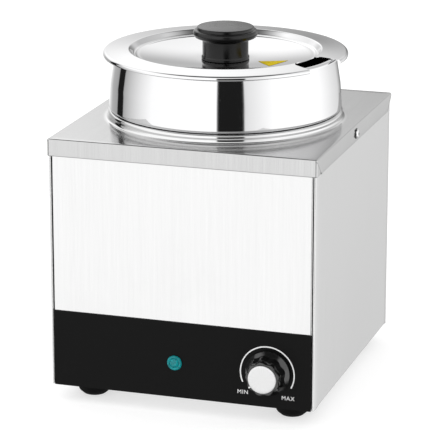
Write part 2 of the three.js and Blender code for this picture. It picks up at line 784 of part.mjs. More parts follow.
function addControls(casing) {
  const face = new THREE.Group();
  face.rotation.x = Math.PI / 2;
  face.position.set(0, FASCIA_FRONT, CONTROL_Z);
  casing.add(face);

  const dial = new THREE.Group();
  dial.position.x = KNOB_X;
  face.add(dial);
  part(dial, 'thermostat_body', thermostatGeometry(), 'ceramic');
  part(dial, 'thermostat_spindle', spindleGeometry(), 'zinc');
  part(dial, 'thermostat_knob', knobGeometry(), 'gloss');
  part(dial, 'thermostat_knob_cap', knobCapGeometry(), 'plain');
  const fixing = screw(3.2, 0.9, 1.5, 8);
  const seat = PANEL_FRONT - FASCIA_FRONT;
  part(dial, 'thermostat_screw_left', fixing, 'zinc').position.set(-14, 0, -seat + FIT);
  part(dial, 'thermostat_screw_right', fixing, 'zinc').position.set(14, 0, -seat + FIT);

  const lamp = new THREE.Group();
  lamp.position.x = LAMP_X;
  face.add(lamp);
  part(lamp, 'pilot_lamp_lens', lampLensGeometry(), 'lens');
  part(lamp, 'pilot_lamp_body', lampBodyGeometry(), 'moulded');
  part(lamp, 'pilot_lamp_nut', lampNutGeometry(), 'zinc');
}

function addWiring(casing) {
  const bulbY = -(TANK_RADIUS + FIT + 3.6);
  const bulb = turned([[0, 92], [1.2, 92], [3, 95], [3, 158], [2, 160], [0, 160]], 12).translate(0, bulbY, 0);
  part(casing, 'thermostat_bulb', bulb, 'copper');
  const clip = part(casing, 'bulb_clip', bulbClipGeometry(), 'zinc');
  clip.rotation.z = Math.PI;
  clip.position.set(0, -(TANK_RADIUS + FIT), 118);

  const capillary = [[0, bulbY, 91.7], [2, bulbY - 3, 84], [20, bulbY - 9, 76], [48, bulbY - 12, 70],
    [76, -122, 66], [KNOB_X, -122, 60], [KNOB_X, -122, CONTROL_Z + 17 + FIT]];
  part(casing, 'thermostat_capillary', rod(capillary, 0.9, 5, 16), 'copper');

  const block = part(casing, 'terminal_block', terminalBlockGeometry(), 'white');
  block.position.set(GLAND_X, 100, FIT);
  const blockScrew = part(casing, 'terminal_block_screw', screw(2.8, 2, 1.5, 8.4), 'zinc');
  blockScrew.position.set(GLAND_X + 7, 106.8, 9 + 2 * FIT);
  const earth = part(casing, 'earth_screw', screw(5, 3, 2.4, 0.9), 'brass');
  earth.position.set(100, 62, 0.9 + FIT);

  const rear = { y: 88.6, z: 5.3 };
  const thermostatBack = -PANEL_FRONT - SHEET - FIT - 36 - FIT;
  const lampBack = -PANEL_FRONT - SHEET - 33 - FIT;
  const wires = {
    wire_live: ['brown', [[60, rear.y, rear.z], [60, 78, rear.z], [68, 20, 12], [84, -60, 18],
      [KNOB_X + 12, -88, 26], [KNOB_X + 12, -thermostatBack, CONTROL_Z - 7.6]]],
    wire_lamp_neutral: ['blue', [[46, rear.y, rear.z], [46, 76, rear.z], [30, 20, 9], [4, -50, 14],
      [LAMP_X + 3, -92, 32], [LAMP_X + 3, -lampBack + 4, CONTROL_Z], [LAMP_X + 3, -lampBack, CONTROL_Z]]],
    wire_earth: ['green', [[74, rear.y, rear.z], [74, 82, rear.z], [82, 76, 5], [89, 72, 3], [95, 67, 2.8]]],
    wire_lamp_live: ['brown', [[LAMP_X - 3, -lampBack, CONTROL_Z], [LAMP_X - 3, -lampBack + 4, CONTROL_Z],
      [-6, -92, 42], [20, -84, 48], [KNOB_X - 12, -92, 40],
      [KNOB_X - 12, -thermostatBack, CONTROL_Z - 7.6]]],
    wire_heater_live: ['red', [[14.5, -93, ELEMENT_Z], [14.5, -97, ELEMENT_Z], [34, -102, 64],
      [60, -100, 60], [80, -96, 52], [KNOB_X + 12, -94, 46], [KNOB_X + 12, -thermostatBack, CONTROL_Z + 7]]],
    wire_heater_return: ['red', [[-14.5, -93, ELEMENT_Z], [-14.5, -97, ELEMENT_Z], [-16, -98, 64],
      [-12, -84, 56], [0, -50, 52], [24, -12, 50], [27, -3, 57], [27, -2, CLAMP_TOP - CLAMP_SHEET - 9.9]]],
    wire_neutral: ['blue', [[33, 3, CLAMP_TOP - CLAMP_SHEET - 9.9], [33, 4, 57], [44, 40, 30],
      [46, 74, 12], [46, rear.y, 11.4]]],
  };
  for (const [name, [finish, points]] of Object.entries(wires)) {
    part(casing, name, rod(points, 1.2, 5, 12), finish);
  }

  const gland = new THREE.Group();
  gland.rotation.x = -Math.PI / 2;
  gland.position.set(GLAND_X, BODY_DEPTH / 2, GLAND_Z);
  casing.add(gland);
  part(gland, 'cable_gland', glandGeometry(), 'moulded');
  part(gland, 'gland_locknut', hexNut(11, 7.7, -SHEET - FIT - 4, -SHEET - FIT), 'moulded');
}

function addPotAndLid(casing) {
  part(casing, 'soup_pot', potGeometry(), 'mirror');
  part(casing, 'lid', lidGeometry(), 'mirror');
  part(casing, 'lid_knob', lidKnobGeometry(), 'bakelite');
  part(casing, 'lid_knob_insert', insertGeometry(), 'brass');
  part(casing, 'lid_knob_washer', lidWasherGeometry(), 'zinc');
  const screwTop = LID_HUB - LID_SHEET - 2 * FIT - 1.2;
  const fixing = part(casing, 'lid_knob_screw', screw(4.6, 2.8, 2.3, 18).rotateX(Math.PI), 'zinc');
  fixing.position.z = screwTop;
}

const kettle = new THREE.Group();
const casing = new THREE.Group();
casing.position.set(0, CENTRING, -FLOOR);
kettle.add(casing);
addCasing(casing);
addHeater(casing);
addFeetAndScrews(casing);
addControls(casing);
addWiring(casing);
addPotAndLid(casing);

export default kettle;
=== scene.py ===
"""A countertop soup kettle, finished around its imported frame.

Blender works in metres. The sizes below are millimetres from the casing's own zero: x and y from the
middle of the body shell, z from the lower edge of the control fascia.
"""
import json
import math

import bmesh
import bpy
import numpy as np
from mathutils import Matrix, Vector


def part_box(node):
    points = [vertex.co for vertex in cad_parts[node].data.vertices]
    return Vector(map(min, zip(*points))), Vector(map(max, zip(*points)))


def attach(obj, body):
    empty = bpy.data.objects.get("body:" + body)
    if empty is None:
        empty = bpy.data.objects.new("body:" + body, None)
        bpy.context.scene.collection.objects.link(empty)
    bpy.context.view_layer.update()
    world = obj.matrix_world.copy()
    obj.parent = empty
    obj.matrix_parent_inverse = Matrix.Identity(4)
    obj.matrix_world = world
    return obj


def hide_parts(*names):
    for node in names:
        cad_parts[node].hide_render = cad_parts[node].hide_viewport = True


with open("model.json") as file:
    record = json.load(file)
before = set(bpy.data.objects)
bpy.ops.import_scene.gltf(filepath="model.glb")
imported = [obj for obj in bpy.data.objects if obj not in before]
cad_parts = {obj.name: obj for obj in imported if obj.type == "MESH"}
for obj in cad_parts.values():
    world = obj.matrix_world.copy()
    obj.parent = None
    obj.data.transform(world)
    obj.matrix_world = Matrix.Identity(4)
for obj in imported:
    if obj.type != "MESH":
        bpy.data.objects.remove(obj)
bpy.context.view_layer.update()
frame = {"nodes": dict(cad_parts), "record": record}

MM = 0.001
TAU = 2 * math.pi

# ---------------------------------------------------------------- sizes read from the frame
SHELL_LOW, SHELL_HIGH = (np.array(corner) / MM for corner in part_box("body_shell"))
DECK_LOW, DECK_HIGH = (np.array(corner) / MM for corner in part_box("deck"))
FASCIA_LOW = np.array(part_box("control_fascia")[0]) / MM
ZERO = np.array([0.0, (SHELL_LOW[1] + SHELL_HIGH[1]) / 2, FASCIA_LOW[2]])
FLOOR = -ZERO[2]
HALF_WIDTH = (DECK_HIGH[0] - DECK_LOW[0]) / 2
HALF_DEPTH = (DECK_HIGH[1] - DECK_LOW[1]) / 2
SHELL_X = (SHELL_HIGH[0] - SHELL_LOW[0]) / 2
SHELL_Y = (SHELL_HIGH[1] - SHELL_LOW[1]) / 2
SHELL_TOP = SHELL_HIGH[2] - ZERO[2]
FASCIA_FRONT = FASCIA_LOW[1] - ZERO[1]

# ---------------------------------------------------------------- sizes of the fine surfaces
DECK_TOP = SHELL_TOP + 3.0
SHEET = 1.0
WALL_SHEET = 0.9
BEND = 1.6
CORNER = 2.0
FLANGE = 17.2
LOWER_ROUND = 0.7
SLIT = 0.5
HEM_ROLL = 1.0
HEM_DEPTH = 12.0
RETURN = 12.0
SCREW_Z = DECK_TOP - 9.0
SCREW_HOLE = 2.4
HEAD_GAP = 0.3
VENT_X = 62.0
VENT_Z = 170.0
VENT_STEP = 11.0
VENT_HALF = 22.0
VENT_RADIUS = 2.0
COLLAR_RISE = 8.3
POLISH_START = 118.5
POLISH_END = 122.5
TANK_RADIUS = 105.7
TANK_BOTTOM = 82.0
TANK_RIM = DECK_TOP + 2.0
TANK_SHEET = 0.7
STUD_LENGTH = 16.0
POT_BOTTOM = 105.0
POT_SHEET = 0.9
LID_SHEET = 0.8
LID_HUB = 307.5
NOTCH_ANGLE = math.radians(-18)
NOTCH_REACH = 95.0
NOTCH_HALF = math.radians(12.65)
NOTCH_CORNER = 7.0
DISH_EDGE = 88.0
DISH_FLAT = 24.0
DISH_RIM = 89.0
DISH_DEPTH = 5.6
ROLL_STEPS = 12
PANEL_X = SHELL_X - 2.8
PANEL_FRONT = -SHELL_Y + 0.3
CONTROL_Z = 35.5
DIAL_X = 87.3
DIAL_Z = 34.4
KNOB_X = 88.5
KNOB_BACK = 1.2
KNOB_SHOULDER = 21.3
KNOB_FRONT = 22.5
RECESS = 14.3
CAP_RADIUS = 14.0
FLUTES = 9
POINTER = math.radians(216)
DIAL_RADIUS = 26.9
DIAL_LINE = 1.25
DIAL_START = math.radians(-28)
DIAL_END = math.radians(204)
DIAL_WORDS = (("MIN", 62.8, 13.0), ("MAX", 108.2, 11.0))
LETTER_SIZE = 5.8
PRINT_HEIGHT = 0.06
SPINDLE_HOLE = 5.4
THERMOSTAT_SCREW_HOLE = 2.2
THERMOSTAT_SCREW_REACH = 14.0
LAMP_X = -6.3
LAMP_HOLE = 6.3
GLAND_X = 60.0
GLAND_Z = 38.0
GLAND_REACH = 16.0
GLAND_HOLE = 7.9
GLAND_FLATS = 10.4
GLAND_CORNERS = 11.5
FOOT_TOP = -1.6
FOOT_X = 102.5
FOOT_Y = 107.0
SEAT = 7.0
ROUND = 192


# ---------------------------------------------------------------- lines
def rounded(corners, steps=6):
    """A flat line through (a, b, radius) corners. An arc that touches both sides replaces each corner
    with a radius: its centre lies on the corner's bisector, at radius / sin(half the corner's angle)."""
    points = np.array([corner[:2] for corner in corners], float)
    radii = [corner[2] if len(corner) > 2 else 0.0 for corner in corners]
    count = len(points)
    line = []
    for i, radius in enumerate(radii):
        here = points[i]
        if radius == 0:
            line.append(here[None])
            continue
        back = points[i - 1] - here
        ahead = points[(i + 1) % count] - here
        back /= np.hypot(*back)
        ahead /= np.hypot(*ahead)
        half = math.acos(np.clip(back @ ahead, -1, 1)) / 2
        bisector = (back + ahead) / np.hypot(*(back + ahead))
        centre = here + bisector * radius / math.sin(half)
        first = here + back * radius / math.tan(half) - centre
        last = here + ahead * radius / math.tan(half) - centre
        start = math.atan2(first[1], first[0])
        turn = (math.atan2(last[1], last[0]) - start + math.pi) % TAU - math.pi
        angle = start + turn * np.linspace(0, 1, steps + 1)
        line.append(centre + radius * np.stack([np.cos(angle), np.sin(angle)], 1))
    return np.concatenate(line)


def arc(centre, radius, start, end, steps):
    """Points at the radius from the centre, from the start angle to the end angle, in degrees."""
    angle = np.radians(np.linspace(start, end, steps + 1))
    return np.array(centre) + radius * np.stack([np.cos(angle), np.sin(angle)], 1)


def walled(path, thickness):
    """A closed wall profile: the path, and back along the path moved by the thickness to its left.
    The direction at a point is the difference of its two neighbours."""
    direction = np.gradient(path, axis=0)
    direction /= np.hypot(*direction.T)[:, None]
    left = np.stack([-direction[:, 1], direction[:, 0]], 1)
    back = (path + thickness * left)[::-1]
    back[:, 0] = np.maximum(back[:, 0], 0)
    return np.vstack([path, back])


# ---------------------------------------------------------------- surfaces
def grid(points, wrap_rows=False, wrap_columns=False, turn=False):
    """Four-sided faces between neighbours of a (rows, columns, 3) array of points."""
    rows, columns = points.shape[:2]
    index = np.arange(rows * columns).reshape(rows, columns)
    if wrap_rows:
        index = np.vstack([index, index[:1]])
    if wrap_columns:
        index = np.hstack([index, index[:, :1]])
    faces = np.stack([index[:-1, :-1], index[:-1, 1:], index[1:, 1:], index[1:, :-1]], -1)
    faces = faces.reshape(-1, 4)
    return points.reshape(-1, 3), (faces[:, ::-1] if turn else faces).tolist()


def turned(profile, sides=ROUND, closed=False, swell=0.0):
    """Each (radius, height) of the profile goes once round the upright axis. The swell, one row for
    each point of the profile and one column for each angle, is added to the radius."""
    angle = np.linspace(0, TAU, sides, endpoint=False)
    radius, height = profile.T
    reach = radius[:, None] + swell + np.zeros(sides)
    points = np.stack([
        reach * np.cos(angle),
        reach * np.sin(angle),
        np.repeat(height[:, None], sides, 1),
    ], -1)
    return grid(points, wrap_rows=closed, wrap_columns=True)


def moved(patch, shift=(0, 0, 0), axes=(0, 1, 2), signs=(1, 1, 1)):
    """The patch with its axes taken in another order, given signs, and shifted."""
    points, faces = patch
    return points[:, list(axes)] * np.array(signs) + np.array(shift), faces


def face_on(patch, x, z=CONTROL_Z):
    """A patch drawn face-on, with its height towards the viewer, set on the fascia at x and z."""
    return moved(patch, (x, FASCIA_FRONT, z), axes=(0, 2, 1), signs=(1, -1, 1))


def disc_edge(radius, sides=32):
    """Points once round a circle."""
    angle = np.linspace(0, TAU, sides, endpoint=False)
    return radius * np.stack([np.cos(angle), np.sin(angle)], 1)


def prism(outline, low, high):
    """A closed block: the outline at both heights, a wall between them and a face on each end."""
    count = len(outline)
    here = np.arange(count)
    ahead = (here + 1) % count
    points = np.vstack([np.column_stack([outline, np.full(count, height)]) for height in (low, high)])
    walls = np.stack([here, ahead, ahead + count, here + count], 1)
    return points, [*walls.tolist(), here[::-1].tolist(), (here + count).tolist()]


def rear_on(patch, x, z):
    """A patch drawn with its height towards the back, set on the rear wall at x and z."""
    return moved(patch, (x, SHELL_Y, z), axes=(0, 2, 1))


def side_on(patch, side, y, z):
    """A patch drawn with its height towards a side, set at that side's flange face."""
    return moved(patch, (side * HALF_WIDTH, y, z), axes=(2, 0, 1), signs=(side, 1, 1))


# ---------------------------------------------------------------- pieces
def thing_from(name, patches, closed=True):
    """One object in metres from patches: doubles merged, and faces turned outwards if it is closed."""
    points = []
    faces = []
    for patch_points, patch_faces in patches:
        start = sum(len(group) for group in points)
        faces += [[start + corner for corner in face] for face in patch_faces]
        points.append(patch_points)
    points = (np.concatenate(points) + ZERO) * MM
    mesh = bpy.data.meshes.new(name)
    mesh.from_pydata(points.tolist(), [], faces)
    shape = bmesh.new()
    shape.from_mesh(mesh)
    bmesh.ops.remove_doubles(shape, verts=shape.verts, dist=0.002 * MM)
    bmesh.ops.dissolve_degenerate(shape, edges=shape.edges, dist=0.001 * MM)
    if closed:
        bmesh.ops.recalc_face_normals(shape, faces=shape.faces)
    shape.to_mesh(mesh)
    shape.free()
    thing = bpy.data.objects.new(name, mesh)
    bpy.context.scene.collection.objects.link(thing)
    return thing


def settled(thing):
    """The object with its modifiers' result as its own mesh."""
    view = bpy.context.evaluated_depsgraph_get()
    mesh = bpy.data.meshes.new_from_object(thing.evaluated_get(view))
    thing.modifiers.clear()
    thing.data = mesh
    mesh.name = thing.name


def piece(name, patches, material, body, replaces=(), wall=0.0, cuts=(), crease=32):
    """One finished piece. An open surface gets a wall grown inwards, the cuts are taken out of it, and
    edges sharper than the crease angle stay sharp."""
    thing = thing_from(name, patches, closed=not wall)
    if wall:
        grown = thing.modifiers.new("wall", "SOLIDIFY")
        grown.thickness = wall * MM
        grown.offset = -1
        settled(thing)
    if cuts:
        cutter = thing_from("cutter", cuts)
        taken = thing.modifiers.new("cuts", "BOOLEAN")
        taken.operation = "DIFFERENCE"
        taken.object = cutter
        taken.solver = "EXACT"
        settled(thing)
        bpy.data.objects.remove(cutter)
    thing.data.shade_smooth()
    thing.data.set_sharp_from_angle(angle=math.radians(crease))
    thing.data.materials.clear()
    thing.data.materials.append(material)
    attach(thing, body)
    if replaces:
        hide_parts(*replaces)
    return thing


# ---------------------------------------------------------------- shader nodes
def node(tree, kind, inputs=None, **settings):
    """A node with its settings, and each input set to a value or linked to an output."""
    made = tree.nodes.new(kind)
    for key, value in settings.items():
        setattr(made, key, value)
    for key, value in (inputs or {}).items():
        if isinstance(value, bpy.types.NodeSocket):
            tree.links.new(value, made.inputs[key])
        else:
            made.inputs[key].default_value = value
    return made


def math_node(tree, operation, first, second=0.0):
    """The result of one sum on two numbers, each given as a value or an output."""
    return node(tree, "ShaderNodeMath", {0: first, 1: second}, operation=operation).outputs[0]


def new_group(name, inputs, outputs):
    """An empty node group with named inputs, as (name, kind, value), and named float outputs."""
    group = bpy.data.node_groups.new(name, "ShaderNodeTree")
    for label, kind, value in inputs:
        socket = group.interface.new_socket(label, in_out="INPUT", socket_type=kind)
        if value is not None:
            socket.default_value = value
    for label in outputs:
        group.interface.new_socket(label, in_out="OUTPUT", socket_type="NodeSocketFloat")
    return group, node(group, "NodeGroupInput").outputs, node(group, "NodeGroupOutput").inputs


FLOAT = "NodeSocketFloat"
VECTOR = "NodeSocketVector"


def brush_group():
    """Brushed grain: fine noise stretched along one direction, with a broader band of streaks."""
    group, given, out = new_group("Brushed grain", [
        ("Vector", VECTOR, None), ("Fine", VECTOR, (900, 14, 14)), ("Broad", VECTOR, (120, 3, 3)),
    ], ["Grain", "Streak"])
    fine = node(group, "ShaderNodeVectorMath", {0: given["Vector"], 1: given["Fine"]},
                operation="MULTIPLY").outputs[0]
    broad = node(group, "ShaderNodeVectorMath", {0: given["Vector"], 1: given["Broad"]},
                 operation="MULTIPLY").outputs[0]
    grain = node(group, "ShaderNodeTexNoise", {"Vector": fine, "Scale": 1.0, "Detail": 3.0})
    streak = node(group, "ShaderNodeTexNoise", {"Vector": broad, "Scale": 1.0, "Detail": 2.0})
    group.links.new(grain.outputs[0], out["Grain"])
    group.links.new(streak.outputs[0], out["Streak"])
    return group


def spun_group():
    """Spinning marks: noise on the distance from the upright axis and on the height."""
    group, given, out = new_group("Spinning marks", [
        ("Vector", VECTOR, None), ("Rings", FLOAT, 900.0),
    ], ["Marks"])
    parts = node(group, "ShaderNodeSeparateXYZ", {0: given["Vector"]}).outputs
    across = math_node(group, "MULTIPLY", parts["X"], parts["X"])
    along = math_node(group, "MULTIPLY", parts["Y"], parts["Y"])
    radius = math_node(group, "SQRT", math_node(group, "ADD", across, along))
    place = node(group, "ShaderNodeCombineXYZ", {"X": radius, "Z": parts["Z"]}).outputs[0]
    marks = node(group, "ShaderNodeTexNoise",
                 {"Vector": place, "Scale": given["Rings"], "Detail": 2.0})
    group.links.new(marks.outputs[0], out["Marks"])
    return group


def smudge_group():
    """Handling: two sizes of soft noise multiplied, faded in above a threshold."""
    group, given, out = new_group("Handling", [
        ("Vector", VECTOR, None), ("Scale", FLOAT, 14.0), ("Low", FLOAT, 0.25), ("High", FLOAT, 0.45),
    ], ["Mask"])
    finer = math_node(group, "MULTIPLY", given["Scale"], 4.3)
    large = node(group, "ShaderNodeTexNoise", {"Vector": given["Vector"], "Scale": given["Scale"]})
    small = node(group, "ShaderNodeTexNoise", {"Vector": given["Vector"], "Scale": finer})
    both = math_node(group, "MULTIPLY", large.outputs[0], small.outputs[0])
    mask = node(group, "ShaderNodeMapRange", {
        "Value": both, "From Min": given["Low"], "From Max": given["High"],
    }, interpolation_type="SMOOTHSTEP")
    group.links.new(mask.outputs[0], out["Mask"])
    return group


def speckle_group():
    """Moulded texture: fine even noise, and rarer specks from cells."""
    group, given, out = new_group("Moulded texture", [
        ("Vector", VECTOR, None), ("Scale", FLOAT, 900.0),
    ], ["Grain", "Specks"])
    grain = node(group, "ShaderNodeTexNoise",
                 {"Vector": given["Vector"], "Scale": given["Scale"], "Detail": 4.0})
    cells = node(group, "ShaderNodeTexVoronoi", {"Vector": given["Vector"], "Scale": given["Scale"]})
    specks = node(group, "ShaderNodeMapRange", {
        "Value": cells.outputs["Distance"], "From Min": 0.12, "From Max": 0.3,
        "To Min": 1.0, "To Max": 0.0,
    })
    group.links.new(grain.outputs[0], out["Grain"])
    group.links.new(specks.outputs[0], out["Specks"])
    return group


def new_material(name, **values):
    """A material with one Principled shader whose even values are set on its own sockets."""
    material = bpy.data.materials.new(name)
    material.use_nodes = True
    tree = material.node_tree
    shader = tree.nodes["Principled BSDF"]
    for label, value in values.items():
        shader.inputs[label.replace("_", " ")].default_value = value
    where = node(tree, "ShaderNodeTexCoord").outputs["Object"]
    return material, tree, shader, where


def use(tree, group, **inputs):
    """A shared node group placed in a material with its own values."""
    return node(tree, "ShaderNodeGroup", inputs, node_tree=group).outputs


def between(tree, factor, low, high):
    """A number that goes from low to high as the factor goes from 0 to 1."""
    return node(tree, "ShaderNodeMapRange", {"Value": factor, "To Min": low, "To Max": high}).outputs[0]


def mixed(tree, factor, low, high):
    """The colour that goes from low to high as the factor goes from 0 to 1."""
    return node(tree, "ShaderNodeMix", {"Factor": factor, "A": low, "B": high},
                data_type="RGBA").outputs["Result"]


def tint(tree, factor, dark, light):
    """A colour between two plain ones, each given as three numbers."""
    return mixed(tree, factor, (*dark, 1), (*light, 1))


def relief(tree, shader, height, distance, strength=1.0):
    """Fine height on the surface, as a bump that feeds the shader's normal."""
    bump = node(tree, "ShaderNodeBump", {"Height": height, "Distance": distance, "Strength": strength})
    tree.links.new(bump.outputs[0], shader.inputs["Normal"])


def grey(value):
    """A colour without hue."""
    return (value, value, value)


# ---------------------------------------------------------------- finishes
TURNING_RINGS = 1600.0
BRUSHED = brush_group()
SPUN = spun_group()
HANDLING = smudge_group()
MOULDED = speckle_group()


def brushed_look(tree, where, fine, broad, dark, light, smooth, rough):
    """The colour, roughness and grain height of brushed sheet, as three outputs."""
    brush = use(tree, BRUSHED, Vector=where, Fine=fine, Broad=broad)
    marks = use(tree, HANDLING, Vector=where, Scale=11.0)
    both = math_node(tree, "ADD", math_node(tree, "MULTIPLY", brush["Grain"], 0.7),
                     math_node(tree, "MULTIPLY", brush["Streak"], 0.3))
    spread = between(tree, brush["Grain"], smooth, rough)
    worn = math_node(tree, "ADD", spread, math_node(tree, "MULTIPLY", marks["Mask"], 0.02))
    return tint(tree, both, dark, light), worn, brush["Grain"]


def wall_steel(name, fine, broad, dark, light, smooth, rough):
    """Brushed sheet: fine streaks change its brightness, its roughness and its surface a little."""
    material, tree, shader, where = new_material(name, Metallic=1.0)
    colour, spread, grain = brushed_look(tree, where, fine, broad, dark, light, smooth, rough)
    tree.links.new(colour, shader.inputs["Base Color"])
    tree.links.new(spread, shader.inputs["Roughness"])
    relief(tree, shader, grain, 0.000006, 0.25)
    return material


def deck_steel(name, fine, broad, dark, light, smooth, rough):
    """Brushed sheet that turns into a polished ring where the collar is pressed up. The distance from
    the upright axis sets how much of each is seen."""
    material, tree, shader, where = new_material(name, Metallic=1.0)
    colour, spread, grain = brushed_look(tree, where, fine, broad, dark, light, smooth, rough)
    centred = node(tree, "ShaderNodeMapping", {
        "Vector": where, "Location": (0, -ZERO[1] * MM, 0), "Scale": (1, 1, 0)}).outputs[0]
    far = node(tree, "ShaderNodeVectorMath", {0: centred}, operation="LENGTH").outputs["Value"]
    plain = node(tree, "ShaderNodeMapRange", {
        "Value": far, "From Min": POLISH_START * MM, "From Max": POLISH_END * MM,
    }, interpolation_type="SMOOTHSTEP").outputs[0]
    rings = use(tree, SPUN, Vector=centred, Rings=TURNING_RINGS)
    collar = tint(tree, rings["Marks"], grey(0.62), grey(0.66))
    tree.links.new(mixed(tree, plain, collar, colour), shader.inputs["Base Color"])
    polished = between(tree, rings["Marks"], 0.05, 0.09)
    change = node(tree, "ShaderNodeMapRange", {"Value": plain, "To Min": polished, "To Max": spread})
    tree.links.new(change.outputs[0], shader.inputs["Roughness"])
    relief(tree, shader, math_node(tree, "MULTIPLY", grain, plain), 0.000006, 0.25)
    return material


def polished_steel(name, colour, smooth, rough):
    """Mirror-polished pressing: faint turning marks and hardly seen handling."""
    material, tree, shader, where = new_material(name, Metallic=1.0)
    centred = node(tree, "ShaderNodeMapping", {
        "Vector": where, "Location": (0, -ZERO[1] * MM, 0)}).outputs[0]
    rings = use(tree, SPUN, Vector=centred, Rings=TURNING_RINGS)
    marks = use(tree, HANDLING, Vector=where, Scale=16.0)
    shade = tint(tree, rings["Marks"], [0.975 * part for part in colour], colour)
    tree.links.new(shade, shader.inputs["Base Color"])
    base = between(tree, rings["Marks"], smooth, rough)
    worn = math_node(tree, "ADD", base, math_node(tree, "MULTIPLY", marks["Mask"], 0.02))
    tree.links.new(worn, shader.inputs["Roughness"])
    relief(tree, shader, rings["Marks"], 0.000004, 0.3)
    return material


def sunburst_cap(name):
    """A turned and lacquered cap: faint rays about its middle, and fine rings."""
    material, tree, shader, where = new_material(name, Metallic=1.0)
    middle = (ZERO + np.array([KNOB_X, 0, CONTROL_Z])) * MM
    centred = node(tree, "ShaderNodeMapping", {
        "Vector": where, "Location": (-middle[0], 0, -middle[2])}).outputs[0]
    x, _, z = node(tree, "ShaderNodeSeparateXYZ", {0: centred}).outputs
    turn = math_node(tree, "ARCTAN2", z, x)
    rays = node(tree, "ShaderNodeTexNoise", {"W": math_node(tree, "MULTIPLY", turn, 9.0), "Scale": 1.0},
                noise_dimensions="1D").outputs[0]
    grain = use(tree, MOULDED, Vector=centred, Scale=1500.0)
    tree.links.new(tint(tree, rays, grey(0.60), grey(0.70)), shader.inputs["Base Color"])
    tree.links.new(between(tree, grain["Grain"], 0.30, 0.42), shader.inputs["Roughness"])
    relief(tree, shader, grain["Grain"], 0.000004, 0.2)
    return material


def plain_metal(name, dark, light, smooth, rough, scale=60.0):
    """Small metal parts and mill-finish sheet: mottled tone and roughness."""
    material, tree, shader, where = new_material(name, Metallic=1.0)
    marks = use(tree, HANDLING, Vector=where, Scale=scale)
    grain = use(tree, MOULDED, Vector=where, Scale=scale * 30)
    tree.links.new(tint(tree, marks["Mask"], light, dark), shader.inputs["Base Color"])
    tree.links.new(between(tree, grain["Grain"], smooth, rough), shader.inputs["Roughness"])
    relief(tree, shader, grain["Grain"], 0.00001, 0.3)
    return material


def plastic(name, dark, light, smooth, rough, scale=900.0, depth=0.00001, **values):
    """Moulded plastic, rubber and sleeves: fine grain in tone, roughness and surface."""
    material, tree, shader, where = new_material(name, **values)
    grain = use(tree, MOULDED, Vector=where, Scale=scale)
    marks = use(tree, HANDLING, Vector=where, Scale=30.0)
    tone = math_node(tree, "ADD", math_node(tree, "MULTIPLY", grain["Grain"], 0.7),
                     math_node(tree, "MULTIPLY", marks["Mask"], 0.3))
    tree.links.new(tint(tree, tone, dark, light), shader.inputs["Base Color"])
    spread = between(tree, grain["Grain"], smooth, rough)
    worn = math_node(tree, "ADD", spread, math_node(tree, "MULTIPLY", marks["Mask"], 0.06))
    tree.links.new(worn, shader.inputs["Roughness"])
    relief(tree, shader, grain["Grain"], depth, 0.5)
    return material


def lens_plastic(name):
    """The lamp's lens: coloured clear plastic with a cell pattern moulded behind its face."""
    material, tree, shader, where = new_material(
        name, Roughness=0.12, Specular_IOR_Level=0.3, Emission_Strength=0.6)
    cells = node(tree, "ShaderNodeTexVoronoi", {"Vector": where, "Scale": 620.0})
    shade = tint(tree, cells.outputs["Distance"], (0.0, 0.07, 0.08), (0.0, 0.20, 0.21))
    tree.links.new(shade, shader.inputs["Base Color"])
    glow = tint(tree, cells.outputs["Distance"], (0.0, 0.03, 0.035), (0.0, 0.13, 0.135))
    tree.links.new(glow, shader.inputs["Emission Color"])
    relief(tree, shader, cells.outputs["Distance"], 0.0003, 0.5)
    return material


